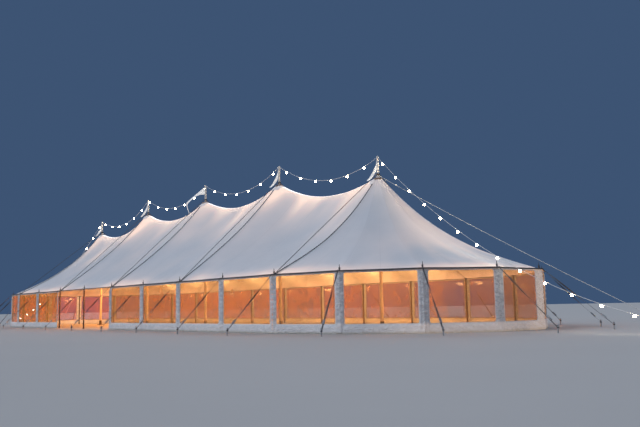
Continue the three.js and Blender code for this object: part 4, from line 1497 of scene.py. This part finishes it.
def side_poles():
    """Turned side poles with iron shoes and the pins that stand through the hem."""
    shaft = template("shaft", [
        (0.0, 0.006), (POLE_RADIUS * 0.96, 0.006), (POLE_RADIUS, 0.012), (POLE_RADIUS * 0.98, 0.3),
        (POLE_RADIUS, 0.6), (POLE_RADIUS * 0.97, POLE_SHOULDER - 0.006), (POLE_RADIUS * 0.9, POLE_SHOULDER),
        (0.0, POLE_SHOULDER)], 20, POLE_TIMBER)
    shoe = template("shoe", [
        (0.0, 0.0), (0.024, 0.0), (0.025, 0.0015), (0.025, 0.0065), (0.0235, 0.008),
        (POLE_RADIUS + 0.0025, 0.0085), (POLE_RADIUS + 0.0015, 0.05), (POLE_RADIUS - 0.001, 0.0505)],
        20, IRON)
    pin = template("pin", [
        (POLE_RADIUS - 0.001, 0.885), (POLE_RADIUS + 0.0015, 0.886),
        (POLE_RADIUS + 0.0015, POLE_SHOULDER - 0.001), (POLE_RADIUS, POLE_SHOULDER),
        (PIN_RADIUS, POLE_SHOULDER), (PIN_RADIUS * 0.97, EAVE_HEIGHT + 0.02), (0.0045, PIN_TOP - 0.02),
        (0.003, PIN_TOP - 0.003), (0.0, PIN_TOP)], 16, IRON)
    for side in RUNS:
        places = [with_height(pole_at(i), 0.0) for i in poles_along(side)]
        copies(f"side_pole_shafts_{side}", shaft, places, "side_pole_timber", nodes=[f"side_poles_{side}"])
    places = [with_height(place, 0.0) for place in POLES]
    copies("side_pole_shoes", shoe, places, "side_pole_timber")
    copies("side_pole_pins", pin, places, "side_pole_timber")
    discard(shaft, shoe, pin)


def wall_ropes():
    """The rope along the outer faces of the side poles that carries the walls."""
    outline = [with_height(outward_point(i, WALL_ROPE_OFFSET), WALL_ROPE_HEIGHT) for i in range(ROUND)]
    ropes("wall_rope", [[*outline, outline[0]]], WALL_ROPE_RADIUS, PALE_ROPE, step=0.014, slot="pale_rope")


def wall_place(index, share, height, bulge):
    """A point of a wall: its share along the bay from pole index, at a height and a distance outwards."""
    flat = outward_point(index, WALL_OFFSET).lerp(outward_point(index + 1, WALL_OFFSET), share)
    normal = chord_normal(index)
    if share < CORNER_SHARE:
        normal = mitre(index).lerp(normal, smooth(share / CORNER_SHARE))
    elif share > 1 - CORNER_SHARE:
        normal = mitre(index + 1).lerp(normal, smooth((1 - share) / CORNER_SHARE))
    place = flat + normal * bulge
    return Vector((place.x, place.y, height))


def pillar_widths(index):
    """The cloth left beside a bay's window, before and after it: more at the middle bay of a rounded end."""
    return MIDDLE_BAY_PILLARS if is_middle_bay(index) else (PILLAR_HALF, PILLAR_HALF)


def lerp_pair(first, second, share):
    return tuple(lerp(a, b, share) for a, b in zip(first, second))


def window_ring(index, length):
    """Pairs of points round a bay's window, as (along, height): on the window's edge and the bay's edge."""
    before_window, after_window = pillar_widths(index)
    half = {-1: length / 2 - before_window, 1: length / 2 - after_window}
    reach = length / 2
    radius = WINDOW_CORNER
    corners = (
        (1, WINDOW_LOW, 0.0),
        (1, WINDOW_HIGH, WALL_HEIGHT),
        (-1, WINDOW_HIGH, WALL_HEIGHT),
        (-1, WINDOW_LOW, 0.0),
    )
    pairs = []
    for k, (side, height, edge) in enumerate(corners):
        side_before, height_before, edge_before = corners[k - 1]
        runs_level = k % 2 == 0
        up = 1 if height > WINDOW_LOW else -1
        up_before = 1 if height_before > WINDOW_LOW else -1
        edge_level, level_before = lerp(edge, height, 0.8), lerp(edge_before, height_before, 0.8)
        steps = LONG_STEPS if runs_level else HIGH_STEPS
        for i in range(steps):
            share = i / steps
            if runs_level:
                along = lerp(side_before * (half[side_before] - radius), side * (half[side] - radius), share)
                far = lerp(side_before * half[side_before], side * half[side], share)
                pairs.append(((along, height), (far, edge)))
            else:
                level = lerp(height_before - up_before * radius, height - up * radius, share)
                outer = (side * reach, lerp(level_before, edge_level, share))
                pairs.append(((side * half[side], level), outer))
        start = k * math.pi / 2 - math.pi / 2
        centre = (side * (half[side] - radius), height - up * radius)
        corner = (side * reach, edge)
        ends = [(side * half[side], edge), (side * reach, edge_level)]
        if not runs_level:
            ends.reverse()
        for i in range(2 * ARC_STEPS):
            turn = start + (i / (2 * ARC_STEPS)) * math.pi / 2
            inner = (centre[0] + radius * math.cos(turn), centre[1] + radius * math.sin(turn))
            share = i / ARC_STEPS
            outer = lerp_pair(ends[0], corner, share) if share <= 1 else lerp_pair(corner, ends[1], share - 1)
            pairs.append((inner, outer))
    return pairs


def folds(s, height, free_distance):
    """How far the wall's cloth stands out where it hangs in soft folds."""
    deep = ripple(s, 0.062, 2.6 * noise.noise((s * 3, height * 1.5, 2.0)))
    swag = ripple(height + 0.4 * s, 0.08, 3.0 * noise.noise((s * 5, height * 4, 12.0)))
    soft = cloud(s * 16, height * 3.5, 9.0)
    small = cloud(s * 38, height * 14, 4.0)
    gathered_edge = fade(free_distance, 0.07) * ripple(s, 0.026)
    return 0.006 * deep + 0.006 * soft + 0.004 * small + 0.007 * swag + 0.012 * gathered_edge


def wall_bulge(s, height, out_share, free_distance):
    """The cloth is flat at a window's edge and at its top, and folds towards the pillars and the ground."""
    slack = smooth(out_share / 0.35) * smooth((WALL_HEIGHT - height) / 0.08)
    skirt = 0.006 * smooth((0.14 - height) / 0.14) * cloud(s * 6, 0.0, 1.0)
    return slack * (folds(s, height, free_distance) + skirt)


def wall_lengths(first, last):
    """Each bay's length along the wall, and the distance of its start from the wall's start."""
    starts, total = [], 0.0
    for index in range(first, last):
        length = (outward_point(index + 1, WALL_OFFSET) - outward_point(index, WALL_OFFSET)).length
        starts.append((index, total, length))
        total += length
    return starts, total


def free_edge_distance(first, last, s, total):
    """How far a place along a wall is from an edge that hangs free beside the way in."""
    near = []
    if first in FREE_EDGES:
        near.append(s)
    if last in FREE_EDGES:
        near.append(total - s)
    return min(near, default=NO_FREE_EDGE)


def wall_bay(cloth, index, start, length, pairs, free_distance):
    """The cloth of one bay, in rings from the edge of its window to the edges of the bay."""
    rows, own_map = [], []
    for j in range(RING_STEPS + 1):
        out_share = j / RING_STEPS
        row, map_row = [], []
        for inner, outer in pairs:
            along, height = lerp_pair(inner, outer, out_share)
            s = start + along + length / 2
            bulge = wall_bulge(s, height, out_share, free_distance(s))
            row.append(wall_place(index, along / length + 0.5, height, bulge))
            map_row.append((s, height))
        rows.append(row)
        own_map.append(map_row)
    cloth.add_grid(rows, map_of=lambda r, c: own_map[r][c])


def window_binding(binding, index, length, pairs):
    """The strip that is welded round one window."""
    rows = []
    for grow, lift in BINDING_SECTION:
        row = []
        for inner, outer in pairs:
            out = Vector((outer[0] - inner[0], outer[1] - inner[1])).normalized() * grow
            row.append(wall_place(index, (inner[0] + out.x) / length + 0.5, inner[1] + out.y, lift))
        rows.append(row)
    binding.add_grid(rows)


def window_wall(side, first, last):
    """A wall of cloth with a window in each bay, and the binding round the windows."""
    cloth, binding = Gathered(), Gathered()
    starts, total = wall_lengths(first, last)
    for index, start, length in starts:
        pairs = window_ring(index, length)
        pairs.append(pairs[0])
        wall_bay(cloth, index, start, length, pairs, lambda s: free_edge_distance(first, last, s, total))
        window_binding(binding, index, length, pairs)
    cloth_piece = cloth.piece(f"wall_cloth_{side}", WALL_CLOTH)
    add_lamplight(cloth_piece, wall_light)
    thicken(cloth_piece, WALL_THICKNESS)
    on_tent(cloth_piece, "wall_cloth", f"wall_{side}")
    binding_piece = binding.piece(f"window_bindings_{side}", BINDING)
    on_tent(binding_piece, "wall_cloth")


def clear_windows(side, first, last):
    """One clear sheet behind each window of a wall, a little wavy."""
    gathered = Gathered()
    starts, total = wall_lengths(first, last)
    for index, start, length in starts:
        before_window, after_window = pillar_widths(index)
        low = before_window - SHEET_MARGIN - length / 2
        high = length / 2 - after_window + SHEET_MARGIN
        before, after = outward_point(index, SHEET_OFFSET), outward_point(index + 1, SHEET_OFFSET)
        rows = []
        for j in range(SHEET_LEVELS + 1):
            height = lerp(WINDOW_LOW - SHEET_MARGIN, WINDOW_HIGH + SHEET_MARGIN, j / SHEET_LEVELS)
            row = []
            for i in range(SHEET_COLUMNS + 1):
                along = lerp(low, high, i / SHEET_COLUMNS)
                s = start + along
                broad = 0.0011 * noise.noise((s * 4.5, height * 3.0, 6.0))
                fine = 0.0006 * noise.noise((s * 11, height * 6, 8.0))
                place = before.lerp(after, along / length + 0.5) + chord_normal(index) * (broad + fine)
                row.append(with_height(place, height))
            rows.append(row)
        gathered.add_grid(rows, map_of=lambda r, c: (rows[r][c].x, rows[r][c].z))
    obj = gathered.piece(f"clear_windows_{side}", CLEAR_SHEET)
    thicken(obj, SHEET_THICKNESS, 0.0)
    on_tent(obj, "clear_sheet", f"window_sheet_{side}")


def walls():
    for side, (first, last) in WALLS.items():
        window_wall(side, first, last)
        clear_windows(side, first, last)


def webbing(side, first, last):
    """The flat webbing round the hem, from pole to pole, with its corners rounded."""
    half, low, high = WEBBING_THICKNESS / 2, WEBBING_LOW, WEBBING_HIGH
    section = [(half, low + 0.001), (half, high - 0.001), (half - 0.001, high), (-half + 0.001, high),
               (-half, high - 0.001), (-half, low + 0.001), (-half + 0.001, low), (half - 0.001, low)]
    rows, travelled = [], []
    length = 0.0
    for index in range(first, last + 1):
        for i in range(WEBBING_STEPS if index < last else 1):
            share = i / WEBBING_STEPS
            slack = 0.0025 * math.sin(math.pi * share) ** 2
            row = []
            for aside, height in section:
                start = outward_point(index, WEBBING_OFFSET + aside)
                place = start.lerp(outward_point(index + 1, WEBBING_OFFSET + aside), share) if i else start
                row.append(with_height(place, height - slack))
            rows.append(row)
            if len(rows) > 1:
                length += (rows[-1][0] - rows[-2][0]).length
            travelled.append(length)
    gathered = Gathered()
    gathered.add_bar(rows, map_of=lambda r, c: (travelled[r], c / len(section)))
    obj = gathered.piece(f"eave_webbing_{side}", WEBBING, hard=True)
    return on_tent(obj, "dark_rope", f"guy_lines_{side}")


def guy_ends(index):
    """Where pole index's guy line leaves the webbing, and where it meets its stake."""
    start = outward_point(index, WEBBING_OFFSET + 0.003)
    reach = MIDDLE_GUY_REACH if is_middle_bay(index) or is_middle_bay(index - 1) else GUY_REACH
    foot = pole_at(index) + guy_direction(index) * reach
    return with_height(start, GUY_START_HEIGHT), with_height(foot, GUY_END_HEIGHT)


def stakes(name, feet):
    """Round steel stakes with hammered heads."""
    item = template("stake", [
        (0.0, 0.0), (STAKE_RADIUS, 0.0), (STAKE_RADIUS, STAKE_HEIGHT - 0.014),
        (STAKE_RADIUS + 0.003, STAKE_HEIGHT - 0.011), (STAKE_RADIUS + 0.004, STAKE_HEIGHT - 0.004),
        (STAKE_RADIUS + 0.001, STAKE_HEIGHT - 0.0005), (0.0, STAKE_HEIGHT)], 16, STEEL)
    copies(name, item, [with_height(foot, 0.0) for foot in feet], "dark_rope")
    discard(item)


def strap(gathered, index):
    """A flat strap from a pole's pin, over the hem and down to the stake, with half a turn in it."""
    start, foot = guy_ends(index)
    pin, away = pole_at(index), guy_direction(index)
    across = Vector((-away.y, away.x, 0.0))
    line = [
        with_height(pin + away * 0.011, EAVE_HEIGHT + 0.011),
        with_height(outward_point(index, WEBBING_OFFSET + 0.007), EAVE_HEIGHT + 0.009),
        start.lerp(foot, 0.02) + Vector((0.0, 0.0, 0.004)),
    ]
    last = foot.lerp(start, 0.012)
    along = [0.0, 0.0, 0.0]
    for i in range(1, STRAP_STEPS + 1):
        share = i / STRAP_STEPS
        line.append(line[2].lerp(last, share))
        along.append(share)
    rows = []
    for i, place in enumerate(line):
        before, after = line[max(i - 1, 0)], line[min(i + 1, len(line) - 1)]
        direction = (after - before).normalized()
        turned = Matrix.Rotation(math.pi * smooth(along[i] / 0.75), 3, direction)
        side = turned @ across * (STRAP_WIDTH / 2)
        face = side.cross(direction).normalized() * (STRAP_THICKNESS / 2)
        rows.append([place + side + face, place - side + face, place - side - face, place + side - face])
    gathered.add_bar(rows, map_of=lambda r, c: (r * 0.03, c * 0.25))


def ratchet():
    """A ratchet buckle, its strap along Z and its handle towards Y."""
    gathered = Gathered()
    for side in (-1, 1):
        gathered.add_box((side * 0.0135, 0.005, 0.046), (0.002, 0.022, 0.088))
    for centre, size in (
        ((0.0, -0.004, 0.06), (0.025, 0.002, 0.056)),
        ((0.0, 0.017, 0.052), (0.024, 0.003, 0.07)),
        ((0.0, 0.012, 0.09), (0.03, 0.011, 0.012)),
    ):
        gathered.add_box(centre, size)
    half_axle = [(0.006, 0.0145), (0.0085, 0.0148), (0.0085, 0.0165), (0.0065, 0.018), (0.0, 0.018)]
    axle = [(radius, -height) for radius, height in reversed(half_axle)] + half_axle
    turn = Matrix.Rotation(math.pi / 2, 3, "Y")
    shift = Vector((0.0, 0.006, 0.03))
    rows = [[turn @ point + shift for point in row] for row in lathe_rows(axle, 14)]
    gathered.add_grid(rows, wrap=True)
    return gathered.piece("ratchet", STEEL, hard=True)


def guy_lines():
    """The webbing round the hem, and at each side pole a strap with its ratchet, lashings and stake."""
    for side, (first, last) in RUNS.items():
        webbing(side, first, last)
    straps, lashings, ratchets, turns, feet = Gathered(), [], [], [], []
    for index in range(ROUND):
        start, foot = guy_ends(index)
        strap(straps, index)
        low, high = EAVE_HEIGHT + PIN_LASHING_LOW, EAVE_HEIGHT + PIN_LASHING_HIGH
        lashings.append(coil(pole_at(index), PIN_RADIUS + LASHING_RADIUS, low, high, PIN_LASHING_TURNS))
        low, high = GUY_END_HEIGHT - STAKE_LASHING_RISE, GUY_END_HEIGHT + STAKE_LASHING_RISE
        lashings.append(coil(foot, STAKE_RADIUS + GUY_RADIUS, low, high, HITCH_TURNS))
        ratchets.append(start.lerp(foot, TENSIONER_START))
        turns.append(turn_along(foot - start))
        feet.append(foot)
    on_tent(straps.piece("guy_straps", WEBBING, hard=True), "dark_rope")
    ropes("pin_and_stake_lashings", lashings, LASHING_RADIUS, DARK_ROPE, step=0.009)
    item = ratchet()
    copies("guy_ratchets", item, ratchets, "dark_rope", turns=turns)
    discard(item)
    stakes("guy_stakes", feet)


def seam_ropes():
    """A taut rope over each seam, from turns round the mast to a pin at each eave."""
    for king in range(KING_COUNT):
        centre = king_x(king)
        level = peak_height(king) + SEAM_ROPE_RISE
        post = mast_radius(king, level)
        paths = [mast_coil(king, level, SEAM_ROPE_RADIUS, SEAM_ROPE_COIL_RISE, SEAM_ROPE_TURNS)]
        for side in (-1, 1):
            start = Vector((centre, side * (post + SEAM_ROPE_RADIUS), level))
            end = Vector((centre, side * (HALF_WIDTH - PIN_RADIUS - 0.004), EAVE_HEIGHT + 0.0095))
            paths.append([start, end])
        ropes(f"seam_rope_line_{king + 1}", paths, SEAM_ROPE_RADIUS, DARK_ROPE, step=0.014,
              nodes=[f"seam_rope_{king + 1}"])


def stay_line(sign, king, level, offset, turn, reach, sag, steps):
    """The line of a stay from an end mast to its stake. offset is how far from the mast's face it starts."""
    away = Vector((sign * math.cos(turn), math.sin(turn), 0.0))
    centre = Vector((king_x(king), 0.0, 0.0))
    start = centre + away * (mast_radius(king, level) + offset) + Vector((0, 0, level))
    foot = centre + away * reach + Vector((0, 0, GUY_END_HEIGHT))
    return hanging(start, foot, sag, steps)


def stake_hitch(foot, radius, rise):
    """The turns of a rope round a stake."""
    return coil(foot, STAKE_RADIUS + radius, GUY_END_HEIGHT - rise, GUY_END_HEIGHT + rise, HITCH_TURNS)


def storm_stays():
    """A plain stay from the crown of each end to its stake."""
    feet = []
    for side, sign, king in ENDS:
        level = END_PEAK + STORM_RISE
        offset = STORM_RADIUS + 0.002
        path = stay_line(sign, king, level, offset, STAY_TURN, STORM_REACH, STORM_SAG, STORM_STEPS)
        round_mast = mast_radius(king, level) + offset
        wound = coil((king_x(king), 0), round_mast, level - 0.01, level + 0.008, HITCH_TURNS)
        hitch = stake_hitch(path[-1], STORM_RADIUS, STORM_HITCH_RISE)
        ropes(f"storm_stay_rope_{side}", [wound, path, hitch], STORM_RADIUS, PALE_ROPE, slot="pale_rope",
              step=0.011, nodes=[f"storm_stay_{side}"])
        feet.append(path[-1])
    stakes("storm_stay_stakes", feet)


def points_along(path, first, gap, spare):
    """Points at even distances along a path, from the first distance to the spare length before its end."""
    lengths = [0.0]
    for a, b in zip(path, path[1:]):
        lengths.append(lengths[-1] + (b - a).length)
    found, wanted = [], first
    for i in range(len(path) - 1):
        while wanted <= lengths[i + 1] and wanted < lengths[-1] - spare:
            share = (wanted - lengths[i]) / (lengths[i + 1] - lengths[i])
            found.append(path[i].lerp(path[i + 1], share))
            wanted += gap
    return found


def string_lines():
    """The spans of the lamp string between the mast tops, and the places of the lamps on them."""
    lines, lamps = [], []
    for king in range(LAST_KING):
        ends = []
        for k, side in ((king, 1), (king + 1, -1)):
            level = mast_height(k) - LAMP_STRING_DROP
            ends.append(Vector((king_x(k) + side * (mast_radius(k, level) + LAMP_CORD_RADIUS), 0.0, level)))
        lines.append(hanging(ends[0], ends[1], LAMP_STRING_SAG, LAMP_STRING_STEPS))
        left = king_x(king)
        before = max(0, math.ceil((left + HALF_LENGTH - FIRST_LAMP_ON_STRING) / LAMP_GAP))
        x = FIRST_LAMP_ON_STRING - HALF_LENGTH + before * LAMP_GAP
        while x < left + KING_GAP - LAMP_BEFORE_MAST:
            share = (max(x, left + LAMP_BEHIND_MAST) - ends[0].x) / (ends[1].x - ends[0].x)
            lamp = ends[0].lerp(ends[1], share)
            lamp.z -= 4 * LAMP_STRING_SAG * share * (1 - share)
            lamps.append(lamp)
            x += LAMP_GAP
    return lines, lamps


def lamp_templates():
    """A round frosted lamp and the socket that hangs it from its cord."""
    glass = [(0.0, LAMP_LOW)]
    for i in range(1, 10):
        turn = math.pi * i / 11
        glass.append((LAMP_RADIUS * math.sin(turn), LAMP_LOW + LAMP_RADIUS * (1 - math.cos(turn))))
    neck = LAMP_LOW + 2 * LAMP_RADIUS
    glass.extend([(0.0075, neck), (0.0075, neck + 0.003), (0.0, neck + 0.003)])
    socket = [(0.0, neck - 0.001), (0.0085, neck), (0.009, neck + 0.002), (0.009, -0.002), (0.0065, 0.002),
              (0.0048, 0.0055), (0.002, 0.0075), (0.0, 0.0075)]
    return template("glass", glass, 14, LAMP_GLASS), template("socket", socket, 12, LAMP_SOCKET)


def cord_ropes(name, paths, node):
    """Lamp cord along the paths: four cores under one round sheath."""
    ropes(name, paths, LAMP_CORD_RADIUS, LAMP_CORD, strands=4, groove=0.9, step=0.03, slot="lamp_glass",
          nodes=[node])


def lamp_strings():
    """The lamp string along the mast tops, and the stay with lamps from each end mast to its stake."""
    glass, socket = lamp_templates()
    lines, lamps = string_lines()
    for king in range(KING_COUNT):
        level = mast_height(king) - LAMP_STRING_DROP
        lines.append(mast_coil(king, level, LAMP_CORD_RADIUS, LAMP_HITCH_RISE, HITCH_TURNS))
    cord_ropes("lamp_string_cord", lines, "lamp_string")
    copies("lamp_string_glasses", glass, lamps, "lamp_glass")
    copies("lamp_string_sockets", socket, lamps, "lamp_glass")
    feet = []
    for side, sign, king in ENDS:
        level = END_MAST - LAMP_STAY_DROP
        path = stay_line(sign, king, level, LAMP_CORD_RADIUS, -STAY_TURN, LAMP_STAY_REACH, LAMP_STAY_SAG,
                         LAMP_STAY_STEPS)
        wound = mast_coil(king, path[0].z, LAMP_CORD_RADIUS, LAMP_HITCH_RISE, HITCH_TURNS)
        hitch = stake_hitch(path[-1], LAMP_CORD_RADIUS, LAMP_HITCH_RISE)
        cord_ropes(f"lamp_stay_cord_{side}", [path, wound, hitch], f"lamp_stay_{side}")
        places = points_along(path, FIRST_LAMP_ON_STAY, LAMP_GAP, LAMP_GAP)
        copies(f"lamp_stay_glasses_{side}", glass, places, "lamp_glass")
        copies(f"lamp_stay_sockets_{side}", socket, places, "lamp_glass")
        feet.append(path[-1])
    discard(glass, socket)
    stakes("lamp_stay_stakes", feet)


def through(points, share):
    """A point of the smooth curve through the given ones."""
    spans = len(points) - 1
    k = min(int(share * spans), spans - 1)
    t = share * spans - k
    a, b, c, d = (Vector(points[int(clamp(i, 0, spans))]) for i in (k - 1, k, k + 1, k + 2))
    return (2 * b + (c - a) * t + (2 * a - 5 * b + 4 * c - d) * t ** 2 + (3 * b - a - 3 * c + d) * t ** 3) / 2


def pennant(king):
    """A tapering pennant that hangs from its hoist on the mast and ripples down to its tip."""
    flying = king == FLYING_PENNANT
    upper, lower = FLYING_EDGES if flying else LIMP_EDGES
    wave_height = 0.02 if flying else 0.008
    top = mast_height(king) - PENNANT_DROP
    hoist = upper[0][1] - lower[0][1]
    edge = mast_radius(king, top - hoist) + 0.0015
    turn = Matrix.Rotation(WIND_TURN, 3, "Z")
    rows, length, area, before = [], 0.0, 0.0, None
    for i in range(PENNANT_COLUMNS + 1):
        share = i / PENNANT_COLUMNS
        high, low = through(upper, share), through(lower, share)
        row = []
        for j in range(PENNANT_ROWS + 1):
            down = j / PENNANT_ROWS
            place = high.lerp(low, down)
            wave = wave_height * math.sin(9 * share + 1.6 * down + king) * smooth(share / 0.2)
            wave += 0.25 * wave_height * math.sin(23 * share - 2.2 * down) * smooth(share / 0.1)
            row.append(turn @ Vector((edge + place.x, wave, place.y)) + Vector((king_x(king), 0.0, top)))
        rows.append(row)
        middle = high.lerp(low, 0.5)
        if before:
            length += (middle - before[0]).length
            area += abs((middle - before[0]).cross((high - low + before[1]) / 2))
        before = (middle, high - low)
    gathered = Gathered()
    gathered.add_grid(rows, map_of=lambda r, c: (r / PENNANT_COLUMNS, c / PENNANT_ROWS))
    obj = gathered.piece(f"pennant_cloth_{king + 1}", PENNANT_CLOTH)
    thicken(obj, PENNANT_THICKNESS, 0.0)
    on_tent(obj, "pennant_cloth", f"pennant_{king + 1}")


def place_camera():
    data = bpy.data.cameras.new("camera")
    data.sensor_width = SENSOR_WIDTH
    data.lens = SENSOR_WIDTH * FOCAL_PIXELS / IMAGE_WIDTH
    data.clip_start = 0.1
    data.clip_end = 500.0
    camera = new_object("camera", data)
    flat = math.cos(CAMERA_PITCH)
    forward = Vector((math.sin(CAMERA_YAW) * flat, math.cos(CAMERA_YAW) * flat, math.sin(CAMERA_PITCH)))
    level = Vector((math.cos(CAMERA_YAW), -math.sin(CAMERA_YAW), 0.0))
    upward = level.cross(forward)
    right = level * math.cos(CAMERA_ROLL) + upward * math.sin(CAMERA_ROLL)
    up = upward * math.cos(CAMERA_ROLL) - level * math.sin(CAMERA_ROLL)
    turned = Matrix((right, up, -forward)).transposed().to_4x4()
    camera.matrix_world = Matrix.Translation(CAMERA_PLACE) @ turned
    bpy.context.scene.camera = camera


def floor():
    mesh = bpy.data.meshes.new("floor")
    corners = [(i * FLOOR_REACH, j * FLOOR_REACH, 0) for i, j in ((-1, -1), (1, -1), (1, 1), (-1, 1))]
    mesh.from_pydata(corners, [], [(0, 1, 2, 3)])
    material, nodes, shader, place = new_material("plain pale floor", {
        "Roughness": 0.9, "Specular IOR Level": 0.1})
    tone = mottled(nodes, place, 0.7, 0.3)
    nodes.feed(shader, {"Base Color": nodes.mix(tone, (0.46, 0.46, 0.45, 1), (0.54, 0.54, 0.53, 1))})
    mesh.materials.append(material)
    new_object("floor", mesh)


def add_light(name, kind, place, energy, colour):
    data = bpy.data.lights.new(name, kind)
    data.energy = energy
    data.color = colour
    light = new_object(name, data)
    light.location = place
    return light


def soft_light(name, place, strength, colour):
    """Even light that comes from the side of the given place, with the soft shadows of a large source."""
    light = add_light(name, "SUN", place, strength, colour)
    light.data.angle = SOFT_LIGHT_ANGLE
    light.rotation_euler = turn_along(place)


def inside_lamp(place, power, colour):
    """A small hidden lamp under the canopy."""
    light = add_light("inside", "POINT", place, power, colour)
    light.data.shadow_soft_size = 0.1
    light.visible_camera = False


def lights():
    """An even dusk-blue background, soft lights from far off, and warm lamps over every bay and end."""
    world = bpy.data.worlds.new("studio")
    world.use_nodes = True
    background = world.node_tree.nodes["Background"]
    background.inputs["Color"].default_value = BACKGROUND
    background.inputs["Strength"].default_value = 1.0
    bpy.context.scene.world = world
    bpy.context.scene.view_settings.view_transform = "Standard"
    for name, place, strength, colour in SOFT_LIGHTS:
        soft_light(name, place, strength, colour)
    for bay in range(SIDE_BAYS):
        x = (bay + 0.5) * SIDE_GAP - HALF_LENGTH
        inside_lamp((x, 0.3, 1.1), 34.0 if x < 2 else 26.0, AMBER)
        inside_lamp((x, 1.7, 0.92), 18.0, STRAW)
    for x in (-HALF_LENGTH - 1.2, HALF_LENGTH + 1.2):
        inside_lamp((x, 0.0, 1.1), 34.0, AMBER)
        inside_lamp((x, 1.0, 0.98), 16.0, STRAW)


place_camera()
for number in range(KING_COUNT):
    mast(number)
    pennant(number)
mast_fittings()
mast_lashings()
side_poles()
wall_ropes()
walls()
canopy()
guy_lines()
seam_ropes()
storm_stays()
lamp_strings()
floor()
lights()
